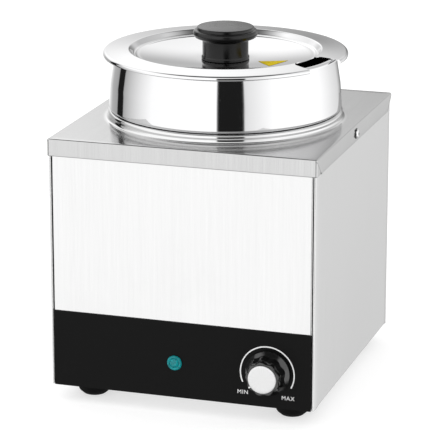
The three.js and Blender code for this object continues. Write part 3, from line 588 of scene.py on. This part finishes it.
# The deck's greys sit well below the walls' greys for the same brushed steel. That darkness is painted
# shade that dims the deck's reflection; the grain within them is the steel's own.
SHADED_DECK_STEEL = deck_steel(
    "Shaded brushed steel deck", fine=(1300, 24, 24), broad=(240, 4, 4),
    dark=grey(0.41), light=grey(0.53), smooth=0.12, rough=0.19)
WALL_STEEL = wall_steel(
    "Brushed steel walls", fine=(1300, 1300, 24), broad=(240, 240, 4),
    dark=grey(0.60), light=grey(0.70), smooth=0.20, rough=0.28)
FINISH = {
    "brushed_steel": WALL_STEEL,
    "mirror_steel": polished_steel("Polished steel", (0.69, 0.69, 0.695), 0.03, 0.06),
    "plain_steel": plain_metal("Mill steel", grey(0.5), grey(0.62), 0.30, 0.42, scale=20.0),
    "black_fascia": plastic("Black fascia film", grey(0.004), grey(0.006), 0.30, 0.38, scale=1400.0,
                            depth=0.000006, Specular_IOR_Level=0.06),
    "element_sheath": plain_metal("Element sheath", (0.10, 0.09, 0.09), (0.30, 0.27, 0.25), 0.35, 0.5),
    "zinc_plate": plain_metal("Zinc plate", grey(0.56), grey(0.72), 0.12, 0.22),
    "ceramic": plastic("Ceramic", (0.55, 0.52, 0.45), (0.72, 0.69, 0.62), 0.5, 0.65),
    "gloss_black": plastic("Gloss black moulding", grey(0.002), grey(0.004), 0.10, 0.16, scale=700.0,
                           depth=0.000003, Specular_IOR_Level=0.8),
    "satin_cap": sunburst_cap("Sunburst cap"),
    "teal_lens": lens_plastic("Lamp lens"),
    "moulded_black": plastic("Black moulding", grey(0.010), grey(0.018), 0.42, 0.55),
    "copper": plain_metal("Copper tube", (0.40, 0.18, 0.10), (0.72, 0.38, 0.26), 0.25, 0.4),
    "white_plastic": plastic("White moulding", (0.66, 0.65, 0.61), (0.78, 0.77, 0.73), 0.4, 0.5),
    "brass": plain_metal("Turned brass", (0.45, 0.33, 0.14), (0.66, 0.50, 0.24), 0.25, 0.35),
    "bakelite": plastic("Phenolic moulding", grey(0.002), grey(0.004), 0.20, 0.26, depth=0.000002,
                        Specular_IOR_Level=0.35),
    "foot_rubber": plastic("Foot rubber", grey(0.002), grey(0.005), 0.6, 0.8, scale=700.0, depth=0.00003,
                           Specular_IOR_Level=0.1),
    "wire_brown": plastic("Brown sleeve", (0.16, 0.06, 0.03), (0.24, 0.10, 0.05), 0.4, 0.5),
    "wire_blue": plastic("Blue sleeve", (0.03, 0.09, 0.34), (0.05, 0.14, 0.46), 0.4, 0.5),
    "wire_green": plastic("Green sleeve", (0.08, 0.34, 0.06), (0.12, 0.46, 0.10), 0.4, 0.5),
    "wire_red": plastic("Red sleeve", (0.38, 0.03, 0.02), (0.50, 0.05, 0.04), 0.4, 0.5),
}
PRINT_WHITE = plastic("White print", grey(0.74), grey(0.82), 0.4, 0.5, scale=1500.0)
FILM_YELLOW = plastic("Yellow film", (0.50, 0.37, 0.002), (0.60, 0.45, 0.004), 0.6, 0.7, scale=1200.0,
                      Specular_IOR_Level=0.03)


# ---------------------------------------------------------------- deck
def deck_edge():
    """Points and outward directions once round the deck: sides at even angles from the middle, with
    extra points where the flanges' mitres begin, and a quarter circle at each corner."""
    reach = np.array([HALF_WIDTH, HALF_DEPTH])
    mitre = FLANGE - BEND
    points = []
    normals = []
    for quarter, (side, across) in enumerate([(0, 1), (1, 0), (0, 1), (1, 0)]):
        turn = -math.pi / 2 + quarter * math.pi / 2
        outward = np.array([math.cos(turn), math.sin(turn)])
        along = np.array([-outward[1], outward[0]])
        half = reach[side] - CORNER
        limit = math.atan(half / reach[across])
        even = reach[across] * np.tan(np.linspace(-limit, limit, 56))
        marks = np.array([mitre, mitre - SLIT, mitre - 2 * SLIT])
        extra = np.concatenate([reach[side] - marks, marks - reach[side]])
        run = np.unique(np.round(np.concatenate([even, extra]), 6))
        points.append(outward * reach[across] + np.outer(run, along))
        normals.append(np.repeat(outward[None], len(run), 0))
        centre = outward * (reach[across] - CORNER) + along * half
        angle = turn + np.linspace(0, math.pi / 2, 10)[1:-1]
        spoke = np.stack([np.cos(angle), np.sin(angle)], 1)
        points.append(centre + CORNER * spoke)
        normals.append(spoke)
    return np.concatenate(points), np.concatenate(normals)


def ring_at(points, normals, inset, height):
    """The outline moved inwards by the inset and set at the height."""
    flat = points - inset * normals
    return np.column_stack([flat, np.broadcast_to(height, len(flat))])


def deck_collar():
    """The collar's section, from the plate inwards: a fillet, a short wall, a rolled bead, a flat
    land, and the bore going down."""
    z = DECK_TOP
    return rounded([
        (123.5, z), (117.4, z, 2.6), (116.4, z + 3.4, 1.4), (117.0, z + 5.0, 1.6),
        (116.6, z + 8.3, 2.6), (TANK_RADIUS + 0.3, z + 8.3, 2.0), (TANK_RADIUS + 0.3, z - 6.8),
    ], 7)


def lower_round(scale):
    """How far a flange's lower edge turns in, and how high it is, along a quarter circle whose radius
    is the scale times the full one."""
    angle = np.radians(np.linspace(0, 90, 5)[1:])
    return [(LOWER_ROUND * (1 - math.cos(a)) * scale, LOWER_ROUND * (1 - math.sin(a)) * scale)
            for a in angle]


def deck_patches():
    """The plate blends from the collar's circle to the outline. A quarter-round bend leads down to
    the flanges. A side or rear flange's depth grows from its corners at 45 degrees up to the full
    depth. The front flange is a tab of full depth that wraps both front corners, with a slit between
    it and the side flanges."""
    points, normals = deck_edge()
    angle = np.arctan2(points[:, 1], points[:, 0])
    spoke = np.stack([np.cos(angle), np.sin(angle)], 1)
    rows = [np.column_stack([radius * spoke, np.full(len(spoke), height)])
            for radius, height in deck_collar()[::-1]]
    inner = rows[-1]
    bend = np.radians(np.linspace(0, 90, 7))
    edge = ring_at(points, normals, BEND, DECK_TOP)
    rows += [inner + share * (edge - inner) for share in np.linspace(0, 1, 8)[1:-1]]
    rows += [ring_at(points, normals, BEND * (1 - math.sin(a)), DECK_TOP - BEND * (1 - math.cos(a)))
             for a in bend]
    top = grid(np.stack(rows), wrap_columns=True, turn=True)

    x, y = points.T
    ahead = y + HALF_DEPTH
    behind = np.maximum(HALF_DEPTH - y, HALF_WIDTH - abs(x))
    deep = FLANGE - BEND
    drop = np.minimum(np.minimum(ahead, behind), deep)
    start = DECK_TOP - BEND
    share = np.linspace(0, 1, 4)[:, None]
    side = [ring_at(points, normals, 0, start - part * (drop - LOWER_ROUND * drop / deep))
            for part in share]
    side += [ring_at(points, normals, turn_in[:, None], start - drop + lift)
             for turn_in, lift in lower_round(drop / deep)]
    flanges = grid(np.stack(side), wrap_columns=True, turn=True)

    front = (ahead < deep - SLIT + 0.01) & (y < 0)
    order = np.roll(np.arange(len(points)), -np.argmax((x < 0) & (y < -HALF_DEPTH / 2)))
    order = order[front[order]]
    gap = np.where(ahead > 1e-6, ahead + SLIT, 0)[order]
    tab = ring_at(points[order], normals[order], 0, start)[None].repeat(4, 0)
    tab[:, :, 2] = start - gap - share * (deep - LOWER_ROUND - gap)
    low = [ring_at(points[order], normals[order], turn_in[:, None], start - deep + lift)
           for turn_in, lift in lower_round(np.ones(len(order)))]
    return [top, flanges, grid(np.concatenate([tab, low]), turn=True)]


def screw_holes():
    """The three holes that the deck's screws pass through, right through flange and wall."""
    hole = prism(disc_edge(SCREW_HOLE), -6, 6)
    return [*[side_on(hole, side, 0, SCREW_Z) for side in (1, -1)], rear_on(hole, 0, SCREW_Z)]


piece("deck_pressing", deck_patches(), SHADED_DECK_STEEL, "casing", ["deck"], wall=SHEET,
      cuts=screw_holes())


# ---------------------------------------------------------------- casing walls
def shell_plan():
    """The plan line of the walls, counterclockwise from the right hem's inner leaf: each hem is a half
    circle, and each rear corner is a quarter circle."""
    w, d = SHELL_X, SHELL_Y
    roll = HEM_ROLL
    leaf = -d + HEM_DEPTH
    stops = [-d + roll, leaf, leaf + RETURN, 0, d - RETURN, d - CORNER]
    right = [np.array([[w - 2 * roll, leaf]]), arc((w - roll, -d + roll), roll, 180, 360, 10),
             np.array([(w, stop) for stop in stops[1:-1]]),
             arc((w - CORNER, d - CORNER), CORNER, 0, 90, 6), np.array([[w - RETURN, d]])]
    right = np.vstack(right)
    return np.vstack([right, [[0, d]], right[::-1] * (-1, 1)])


def shell_patch():
    """The plan line at rising heights. At the foot it turns inwards round a bend, into a return that
    starts at 45 degrees from each corner. The rear corners' tops are cut off at 45 degrees."""
    plan = shell_plan()
    x, y = plan.T
    w, d = SHELL_X, SHELL_Y
    ahead = np.gradient(plan, axis=0)
    ahead /= np.hypot(*ahead.T)[:, None]
    inward = np.stack([-ahead[:, 1], ahead[:, 0]], 1)
    on_side = np.abs(np.abs(x) - w) < 1e-6
    on_rear = np.abs(y - d) < 1e-6
    room = np.where(on_side, np.minimum(y + d - HEM_DEPTH, d - y - CORNER), 0)
    room = np.where(on_rear, w - np.abs(x) - CORNER, room)
    room = np.clip(room, 0, RETURN)
    top = np.minimum(SHELL_TOP, DECK_TOP - RETURN + (w - np.abs(x)) + (d - y))
    bend = np.radians(np.linspace(0, 90, 6))
    insets = [np.zeros(len(x)), *[np.minimum(BEND * (1 - math.cos(a)), room) for a in bend],
              np.maximum(room, 0)]
    heights = [top, *[np.full(len(x), BEND * (1 - math.sin(a))) for a in bend], np.zeros(len(x))]
    rows = [np.column_stack([plan + inset[:, None] * inward, height])
            for inset, height in zip(insets, heights)]
    return grid(np.stack(rows), turn=True)


def vents():
    """Two columns of five slots with round ends in the rear wall."""
    slot = np.vstack([arc((VENT_HALF, 0), VENT_RADIUS, -90, 90, 8),
                      arc((-VENT_HALF, 0), VENT_RADIUS, 90, 270, 8)])
    hole = prism(slot, -5, 5)
    return [rear_on(hole, x, VENT_Z + VENT_STEP * row) for x in (-VENT_X, VENT_X) for row in range(5)]


def gland_hole():
    """The round hole in the rear wall for the cable gland."""
    return rear_on(prism(disc_edge(GLAND_HOLE), -5, 5), GLAND_X, GLAND_Z)


piece("casing_walls", [shell_patch()], WALL_STEEL, "casing", ["body_shell"],
      wall=WALL_SHEET, cuts=[*screw_holes(), *vents(), gland_hole()])


def panel_patch():
    """A tray seen face-on: the outline goes round the returns, over a quarter-round bend, and the flat
    face fills it."""
    x, z = PANEL_X, SHELL_TOP
    edge = rounded([(-x, 0, CORNER), (x, 0, CORNER), (x, z, CORNER), (-x, z, CORNER)], 6)
    middle = np.array([0, z / 2])
    reach = np.array([x, z / 2])
    bend = np.radians(np.linspace(0, 90, 7))
    rows = [np.column_stack([edge, np.full(len(edge), -RETURN)])]
    for a in bend:
        inset = BEND * (1 - math.cos(a))
        flat = middle + (edge - middle) * (1 - inset / reach)
        rows.append(np.column_stack([flat, np.full(len(edge), -BEND + BEND * math.sin(a))]))
    points, faces = grid(np.stack(rows), wrap_columns=True)
    faces.append(list(range(len(points) - len(edge), len(points))))
    return moved((points, faces), (0, PANEL_FRONT, 0), axes=(0, 2, 1), signs=(1, -1, 1))


def panel_cuts():
    """The lamp's, the thermostat's and its two screws' holes."""
    holes = [(LAMP_X, LAMP_HOLE), (KNOB_X, SPINDLE_HOLE),
             (KNOB_X - THERMOSTAT_SCREW_REACH, THERMOSTAT_SCREW_HOLE),
             (KNOB_X + THERMOSTAT_SCREW_REACH, THERMOSTAT_SCREW_HOLE)]
    return [face_on(prism(disc_edge(radius), -6, 6), x) for x, radius in holes]


piece("front_panel_tray", [panel_patch()], WALL_STEEL, "casing", ["front_panel"],
      wall=SHEET, cuts=panel_cuts())


# ---------------------------------------------------------------- well
def tank_patches():
    """The tank's turned wall and floor in one skin, and the stud welded under the floor."""
    path = rounded([(0, TANK_BOTTOM), (TANK_RADIUS, TANK_BOTTOM, 1.6), (TANK_RADIUS, TANK_RIM)], 6)
    low, high = TANK_BOTTOM - STUD_LENGTH, TANK_BOTTOM + 0.1
    stud = np.array([(0, low), (2.5, low), (3, low + 0.5), (3, high), (0, high)])
    return [turned(walled(path, TANK_SHEET), 128), turned(stud, 24)]


piece("water_tank_skin", tank_patches(), FINISH["plain_steel"], "casing",
      ["water_tank", "tank_floor"])


# ---------------------------------------------------------------- pot and lid
def pot_patch():
    """A straight lower wall, a shoulder, a wide band that leans in, and a lip rolled outwards."""
    shoulder = DECK_TOP + COLLAR_RISE + 0.3
    path = rounded([
        (0, POT_BOTTOM), (100, POT_BOTTOM, 10), (100.4, shoulder, 2.2), (116.1, shoulder, 3.3),
        (114.3, 284, 60), (111.0, 305),
    ], 12)
    roll = arc((110.8, 312.9), 2.1, 200, -20, 16)
    return turned(walled(np.vstack([path, roll]), POT_SHEET), ROUND)


def lid_profile():
    """The lid's upper side from the hub: a dish whose height grows with a power of the distance past
    its flat middle, a riser, a sloping flange and a rim turned down."""
    radius = np.linspace(DISH_FLAT, DISH_RIM, 24)
    bowl = LID_HUB + DISH_DEPTH * ((radius - DISH_FLAT) / (DISH_RIM - DISH_FLAT)) ** 1.6
    dish = np.vstack([[3.6, LID_HUB], np.column_stack([radius, bowl])])
    step = rounded([dish[-1], (91.0, 313.3, 1.0), (95.5, 318.1, 1.3), (118.4, 316.55)], 8)
    roll = arc((118.7, 313.7), 2.85, 84, -25, ROLL_STEPS - 1)
    return np.vstack([dish, step[1:], roll])


def lid_patches():
    """The dish is a full turn of the profile. Beyond the dish's edge the flange covers all angles but
    the notch's, and a small patch fills the notch up to its straight inner edge and round corners."""
    profile = lid_profile()
    dish = profile[profile[:, 0] < DISH_EDGE]
    dish = np.vstack([dish, [DISH_EDGE, np.interp(DISH_EDGE, *dish[-2:].T)]])
    flat = profile[profile[:, 0] > DISH_EDGE]
    upper = np.vstack([dish, flat[:-ROLL_STEPS]])

    # The notch's edge: a line at the notch's reach, and a corner circle that touches it and the side.
    centre_along = NOTCH_REACH + NOTCH_CORNER
    centre_across = centre_along * math.tan(NOTCH_HALF) - NOTCH_CORNER / math.cos(NOTCH_HALF)
    centre_far = math.hypot(centre_along, centre_across)
    centre_turn = math.atan2(centre_across, centre_along)
    bend_start = math.atan2(centre_across, NOTCH_REACH)
    bend = bend_start + (NOTCH_HALF - bend_start) * np.sin(np.linspace(0, math.pi / 2, 12))
    middle = np.linspace(-bend_start, bend_start, 9)[1:-1]
    away = np.concatenate([-bend[::-1], middle, bend])
    off = np.abs(away) - centre_turn
    inside = np.maximum(NOTCH_CORNER ** 2 - (centre_far * np.sin(off)) ** 2, 0)
    curved = centre_far * np.cos(off) - np.sqrt(inside)
    reach = np.where(np.abs(away) < bend_start, NOTCH_REACH / np.cos(away), curved)

    share = np.linspace(0, 1, 28)[:, None]
    radius = DISH_EDGE + share * (reach - DISH_EDGE)
    angle = NOTCH_ANGLE + away
    notch = np.stack([radius * np.cos(angle), radius * np.sin(angle), np.interp(radius, *upper.T)], -1)

    column = DISH_EDGE + share[:, 0] * (reach[-1] - DISH_EDGE)
    rest = flat[flat[:, 0] > reach[-1] + 0.2]
    roll = np.vstack([np.column_stack([column, np.interp(column, *upper.T)]), rest])
    around = NOTCH_ANGLE + np.linspace(NOTCH_HALF, TAU - NOTCH_HALF, ROUND)
    full = np.concatenate([angle, around[1:-1]])

    def swept(line, angles):
        return np.stack([
            np.outer(line[:, 0], np.cos(angles)), np.outer(line[:, 0], np.sin(angles)),
            np.repeat(line[:, 1][:, None], len(angles), 1)], -1)

    return [grid(swept(dish, full), wrap_columns=True, turn=True),
            grid(swept(roll, around), turn=True), grid(notch, turn=True)]


def lid_knob_patch():
    """A spool: a straight neck, a broad rolled head, and a disc set on the head with a small step."""
    foot = LID_HUB + 0.3
    profile = rounded([
        (0, foot + 22), (5.3, foot + 22), (5.3, foot), (23.8, foot, 0.6), (23.7, foot + 2.2, 0.8),
        (22.8, foot + 3.6, 1.0), (22.8, 327.4, 2.6), (30.5, 329.6, 3.0), (32.3, 333.2, 2.4),
        (31.2, 336.6, 2.2), (28.4, 337.1, 0.3), (28.2, 340.0, 1.4), (12, 340.85, 60), (0, 340.9),
    ], 8)
    return turned(profile)


piece("pot_pressing", [pot_patch()], FINISH["mirror_steel"], "pot", ["soup_pot"])
piece("lid_pressing", lid_patches(), FINISH["mirror_steel"], "lid", ["lid"],
      wall=LID_SHEET)
piece("lid_knob_moulding", [lid_knob_patch()], FINISH["bakelite"], "lid", ["lid_knob"])


def plain_triangle():
    """A thin three-cornered film laid on the dish: rows run between two of its sides, and each point
    takes its height from the lid's profile at its distance from the middle."""
    near, right, front = np.array([(35.5, -5.0), (65.3, -2.9), (54.1, -30.1)])
    down = np.linspace(0, 1, 14)[:, None, None]
    across = np.linspace(0, 1, 14)[None, :, None]
    flat = near + down * ((right - near) + across * (front - right))
    profile = lid_profile()
    dish = profile[profile[:, 0] < DISH_EDGE]
    height = np.interp(np.hypot(flat[..., 0], flat[..., 1]), *dish.T) + 0.12
    return grid(np.concatenate([flat, height[..., None]], -1), turn=True)


piece("lid_triangle_film", [plain_triangle()], FILM_YELLOW, "lid", wall=0.1)


# ---------------------------------------------------------------- controls
def knob_patch():
    """The knob, face-on: a bore from behind, a flared skirt, a grip whose radius follows the cosine of
    nine turns of the angle, and a recess for the cap. The waves fade out down the skirt."""
    profile = rounded([
        (0, 14.4), (3.3, 14.4), (3.3, 2.6), (6.2, 2.6), (6.2, KNOB_BACK), (22.2, KNOB_BACK, 0.4),
        (22.2, 3.4, 1.6), (18.8, 7.6, 6), (16.6, 14.5, 8), (16.2, KNOB_SHOULDER, 0.7),
        (RECESS, KNOB_SHOULDER), (RECESS, KNOB_SHOULDER - 0.9), (0, KNOB_SHOULDER - 0.9),
    ], 7)
    sides = 216
    angle = np.linspace(0, TAU, sides, endpoint=False)
    waves = np.cos(FLUTES * (angle - POINTER))
    radius, height = profile.T
    depth = np.where(radius > RECESS + 0.1, np.interp(height, [4, 12, 22], [0, 0.8, 0.7]), 0)
    return face_on(turned(profile, sides, swell=np.outer(depth, waves)), KNOB_X)


def cap_patch():
    """The cap, face-on: a flat disc with a rounded front edge, let into the knob's recess."""
    back = KNOB_SHOULDER - 0.6
    profile = rounded([(0, back), (CAP_RADIUS, back), (CAP_RADIUS, KNOB_FRONT, 0.5),
                       (11, KNOB_FRONT), (0, KNOB_FRONT)], 4)
    return face_on(turned(profile, 128), KNOB_X)


def pointer_patch():
    """A short printed line across the grip's front edge, towards the pointer's angle."""
    half = 0.65
    line = np.array([(14.5, -half), (16.6, -half), (16.6, half), (14.5, half)])
    turn = np.array([[math.cos(POINTER), math.sin(POINTER)], [-math.sin(POINTER), math.cos(POINTER)]])
    return face_on(prism(line @ turn, KNOB_SHOULDER - 0.05, KNOB_SHOULDER + PRINT_HEIGHT), KNOB_X)


def dial_patch():
    """The printed dial line: the ring between two radii, from the first angle to the last."""
    ends = np.degrees([DIAL_START, DIAL_END])
    outer = arc((0, 0), DIAL_RADIUS + DIAL_LINE / 2, *ends, 90)
    inner = arc((0, 0), DIAL_RADIUS - DIAL_LINE / 2, *ends[::-1], 90)
    return face_on(prism(np.vstack([outer, inner]), 0, PRINT_HEIGHT), DIAL_X, DIAL_Z)


def lettering(words, size):
    """Flat letters with a little thickness, as a closed patch."""
    curve = bpy.data.curves.new(words, "FONT")
    curve.body = words
    curve.size = size
    curve.extrude = 0.05
    curve.space_character = 1.12
    curve.align_x = "CENTER"
    curve.align_y = "CENTER"
    curve.resolution_u = 4
    thing = bpy.data.objects.new(words, curve)
    bpy.context.scene.collection.objects.link(thing)
    mesh = bpy.data.meshes.new_from_object(
        thing.evaluated_get(bpy.context.evaluated_depsgraph_get()))
    points = np.empty(3 * len(mesh.vertices))
    mesh.vertices.foreach_get("co", points)
    faces = [list(polygon.vertices) for polygon in mesh.polygons]
    bpy.data.objects.remove(thing)
    bpy.data.curves.remove(curve)
    bpy.data.meshes.remove(mesh)
    return points.reshape(-1, 3), faces


def lens_patch():
    """The lamp's lens, face-on: a rounded ring, a groove and a low dome."""
    profile = rounded([
        (0, 0.3), (7.3, 0.3), (7.5, 1.0, 0.3), (7.0, 2.0, 0.5), (5.9, 2.3, 0.8), (4.9, 1.9, 0.4),
        (4.5, 1.2, 0.15), (4.1, 2.0, 0.5), (2.4, 2.6, 3), (0, 2.7),
    ], 5)
    return face_on(turned(profile, 96), LAMP_X)


piece("thermostat_knob_moulding", [knob_patch()], FINISH["gloss_black"], "knob",
      ["thermostat_knob"], crease=40)
piece("thermostat_cap_disc", [cap_patch()], FINISH["satin_cap"], "knob",
      ["thermostat_knob_cap"])
piece("knob_pointer_mark", [pointer_patch()], PRINT_WHITE, "knob")
piece("dial_line", [dial_patch()], PRINT_WHITE, "casing")
for words, x, z in DIAL_WORDS:
    piece("dial_word_" + words.lower(), [face_on(lettering(words, LETTER_SIZE), x, z)], PRINT_WHITE,
          "casing")
piece("lamp_lens_moulding", [lens_patch()], FINISH["teal_lens"], "casing",
      ["pilot_lamp_lens"])


# ---------------------------------------------------------------- feet, screws and gland
def foot_patch(x, y):
    """A bowl-shaped foot with a ring to stand on and a seat for its screw."""
    profile = rounded([
        (2.8, FOOT_TOP), (18, FOOT_TOP, 0.5), (17.8, FOOT_TOP - 4, 6), (15.6, FLOOR + 4, 5),
        (11, FLOOR, 1.5), (6, FLOOR, 0.4), (6, FLOOR + SEAT), (2.8, FLOOR + SEAT),
    ], 7)
    return moved(turned(profile, 72, closed=True), (x, y, 0))


def screw_patch():
    """A pan head on a plain shank, drawn with its head up from zero."""
    profile = rounded([
        (0, -10), (1.6, -10), (2, -9.4), (2, 0), (4.6, 0, 0.3), (4.7, 1.3, 1.0), (2.8, 2.35, 2.4),
        (0, 2.4),
    ], 7)
    return turned(profile, 48)


def cross_cut():
    """The head's cross recess: one arm's three corners, turned four times by a right angle."""
    far, near = 2.3, 0.45
    arm = np.array([(near, -near), (far, -near), (far, near)])
    quarter = np.array([(0, 1), (-1, 0)])
    arms = [arm @ np.linalg.matrix_power(quarter, turn) for turn in range(4)]
    return prism(np.vstack(arms), 1.1, 4)


def shade_ring_patch():
    """A thin dark ring under the head: painted shade standing in for the shadow gap between head and
    flange.
    """
    profile = rounded([(2.2, -0.27), (5.3, -0.27), (5.3, -0.02), (2.2, -0.02)])
    return turned(profile, 48, closed=True)


def gland_patch():
    """Flange, hexagon, domed nut and cord hole, drawn with its height out of the rear wall. On the
    hexagon's rows the radius is the flat's distance over the cosine of the angle from its middle."""
    out = GLAND_REACH
    profile = rounded([
        (4, -15), (7.4, -15, 0.5), (7.4, 0.3), (GLAND_CORNERS, 0.3),
        (GLAND_CORNERS, 1.2, 0.3), (GLAND_FLATS, 1.3), (GLAND_FLATS, 4.5),
        (9.7, 4.9), (9.7, out - 4.4, 2.4), (7.4, out - 0.8, 1.2), (5.6, out, 0.5), (4, out),
    ], 5)
    sides = 120
    angle = np.linspace(0, TAU, sides, endpoint=False)
    flat = GLAND_FLATS / np.cos((angle % (TAU / 6)) - TAU / 12)
    on_flats = (np.abs(profile[:, 0] - GLAND_FLATS) < 1e-6)[:, None]
    swell = np.where(on_flats, np.minimum(flat, GLAND_CORNERS) - GLAND_FLATS, 0)
    return rear_on(turned(profile, sides, closed=True, swell=swell), GLAND_X, GLAND_Z)


for end, y in (("front", -FOOT_Y), ("rear", FOOT_Y)):
    for side, x in (("left", -FOOT_X), ("right", FOOT_X)):
        label = end + "_" + side
        piece("foot_moulding_" + label, [foot_patch(x, y)], FINISH["foot_rubber"], "casing",
              ["foot_" + label])

SCREW_PLACES = {
    "right": lambda patch: moved(side_on(patch, 1, 0, SCREW_Z), (HEAD_GAP, 0, 0)),
    "left": lambda patch: moved(side_on(patch, -1, 0, SCREW_Z), (-HEAD_GAP, 0, 0)),
    "rear": lambda patch: moved(rear_on(patch, 0, SCREW_Z), (0, HALF_DEPTH - SHELL_Y + HEAD_GAP, 0)),
}
for label, place in SCREW_PLACES.items():
    piece("pan_screw_" + label, [place(screw_patch())], FINISH["zinc_plate"], "casing",
          ["deck_screw_" + label], cuts=[place(cross_cut())])
    # A thin dark ring under each head is painted shade for the shadow gap between head and flange, not a
    # real washer.
    piece("shade_ring_" + label, [place(shade_ring_patch())], FINISH["moulded_black"], "casing")
piece("gland_moulding", [gland_patch()], FINISH["moulded_black"], "casing",
      ["cable_gland"])


# ---------------------------------------------------------------- stage
LENS = 216.2
SENSOR = 36.0
CAMERA_AZIMUTH = math.radians(17.65)
CAMERA_ELEVATION = math.radians(16.07)
CAMERA_DISTANCE = 2.6076
AIM = (-10.84, 0.0, 144.88)


def set_camera():
    """A long lens from the front right, a little above, aimed at the middle of the kettle."""
    camera = bpy.data.objects.new("Camera", bpy.data.cameras.new("Camera"))
    bpy.context.scene.collection.objects.link(camera)
    camera.data.sensor_width = SENSOR
    camera.data.lens = LENS
    level = math.cos(CAMERA_ELEVATION)
    away = Vector((math.sin(CAMERA_AZIMUTH) * level, -math.cos(CAMERA_AZIMUTH) * level,
                   math.sin(CAMERA_ELEVATION)))
    camera.location = Vector((ZERO + AIM) * MM) + CAMERA_DISTANCE * away
    camera.rotation_euler = away.to_track_quat("Z", "Y").to_euler()
    bpy.context.scene.camera = camera


# Brightness of the studio by plan angle in degrees from +X: level with the kettle, lifted above it,
# and high up. The two deep dark stretches are screens.
LEVEL = [
    (-180, 0.62), (-165, 0.86), (-150, 1.08), (-81.5, 1.15), (-80, 0.012), (-55, 0.012),
    (-53.5, 0.80), (-20, 1.15), (30, 1.15), (60, 0.82), (76, 0.68), (88, 0.32), (98, 0.15),
    (104, 0.28), (114, 0.80), (122, 0.78), (138, 0.42), (153, 0.36), (154.3, 0.012), (166, 0.012),
    (167.3, 0.40), (180, 0.62),
]
LIFTED = [
    (-180, 1.1), (-81.5, 1.15), (-80, 0.012), (-55, 0.012), (-53.5, 0.80), (-20, 1.1), (20, 0.9),
    (42, 0.70), (70, 0.50), (92, 0.75), (100, 0.70), (112, 1.15), (153, 0.9), (154.3, 0.012),
    (166, 0.012), (167.3, 0.8), (180, 1.1),
]
HIGH = [
    (-180, 1.1), (-90, 1.1), (-60, 0.75), (-20, 1.1), (20, 0.9), (42, 0.60), (70, 0.50),
    (92, 0.75), (100, 0.70), (112, 1.15), (150, 0.9), (180, 1.1),
]
ZENITH = 0.06
BELOW = 0.34
STUDIO_POWER = 1.35
# Elevations in degrees over which one band of the studio gives way to the next.
ABOVE_GROUND = (-40, -26)
TO_LIFTED = (7, 20)
TO_HIGH = (22, 30)
TO_ZENITH = (46, 70)
OVERHEAD_POWER = 60.0
OVERHEAD_SIZE = 5.0
OVERHEAD_HEIGHT = 3.0
FLOOR_REACH = 3000.0


def light_ramp(tree, place, stops):
    """One band's brightness at a place once round, from 0 to 1."""
    ramp = node(tree, "ShaderNodeValToRGB", {"Fac": place})
    elements = ramp.color_ramp.elements
    while len(elements) < len(stops):
        elements.new(0.5)
    for element, (angle, value) in zip(elements, stops):
        element.position = (angle + 180) / 360
        element.color = (value, value, value, 1)
    return ramp.outputs[0]


def set_light():
    """Soft panels all round, with two narrow dark screens that give the polished pot its stripes."""
    world = bpy.data.worlds.new("Studio")
    bpy.context.scene.world = world
    world.use_nodes = True
    tree = world.node_tree
    tree.nodes.clear()
    direction = node(tree, "ShaderNodeTexCoord").outputs["Generated"]
    x, y, z = node(tree, "ShaderNodeSeparateXYZ", {0: direction}).outputs
    turn = math_node(tree, "ARCTAN2", y, x)
    place = math_node(tree, "ADD", math_node(tree, "DIVIDE", turn, TAU), 0.5)

    def rise(low, high):
        return node(tree, "ShaderNodeMapRange", {
            "Value": z, "From Min": math.sin(math.radians(low)), "From Max": math.sin(math.radians(high)),
        }, interpolation_type="SMOOTHSTEP").outputs[0]

    bands = [light_ramp(tree, place, stops) for stops in (LEVEL, LIFTED, HIGH)]
    lower = mixed(tree, rise(*TO_LIFTED), bands[0], bands[1])
    panels = mixed(tree, rise(*TO_HIGH), lower, bands[2])
    walls = mixed(tree, rise(*ABOVE_GROUND), (*grey(BELOW), 1), panels)
    colour = mixed(tree, rise(*TO_ZENITH), walls, (*grey(ZENITH), 1))
    lit = node(tree, "ShaderNodeBackground", {"Color": colour, "Strength": STUDIO_POWER})
    seen = node(tree, "ShaderNodeBackground", {"Color": (1, 1, 1, 1), "Strength": 1.0})
    camera_ray = node(tree, "ShaderNodeLightPath").outputs["Is Camera Ray"]
    both = node(tree, "ShaderNodeMixShader", {0: camera_ray, 1: lit.outputs[0], 2: seen.outputs[0]})
    node(tree, "ShaderNodeOutputWorld", {"Surface": both.outputs[0]})


def set_overhead():
    """A wide soft panel overhead that whitens the floor and doesn't show in the polished steel."""
    panel = bpy.data.lights.new("Overhead", "AREA")
    panel.shape = "SQUARE"
    panel.size = OVERHEAD_SIZE
    panel.energy = OVERHEAD_POWER
    thing = bpy.data.objects.new("Overhead", panel)
    bpy.context.scene.collection.objects.link(thing)
    thing.location = (0, 0, OVERHEAD_HEIGHT)
    thing.visible_glossy = False
    thing.visible_camera = False


def set_floor():
    """A plain pale floor under the feet."""
    side = np.array([-FLOOR_REACH, FLOOR_REACH])
    across, along = np.meshgrid(side, side)
    points = np.stack([across, along, np.full_like(across, FLOOR)], -1)
    corners, faces = grid(points)
    mesh = bpy.data.meshes.new("floor")
    mesh.from_pydata(((corners + ZERO) * MM).tolist(), [], faces)
    floor = bpy.data.objects.new("floor", mesh)
    bpy.context.scene.collection.objects.link(floor)
    mesh.materials.append(plastic("Floor", grey(0.46), grey(0.48), 0.8, 0.9, scale=300.0,
                                  Specular_IOR_Level=0.0, Emission_Strength=0.62,
                                  Emission_Color=(1, 1, 1, 1)))
    floor.visible_glossy = False


# ---------------------------------------------------------------- finishes on the frame's own pieces
SLOT_OF = {row["node"]: row["material_slot"] for row in frame["record"]["subparts"]}
for name, thing in frame["nodes"].items():
    for holder in thing.material_slots:
        holder.material = FINISH[SLOT_OF[name]]

set_camera()
set_light()
set_overhead()
set_floor()
bpy.context.scene.view_settings.view_transform = "Standard"
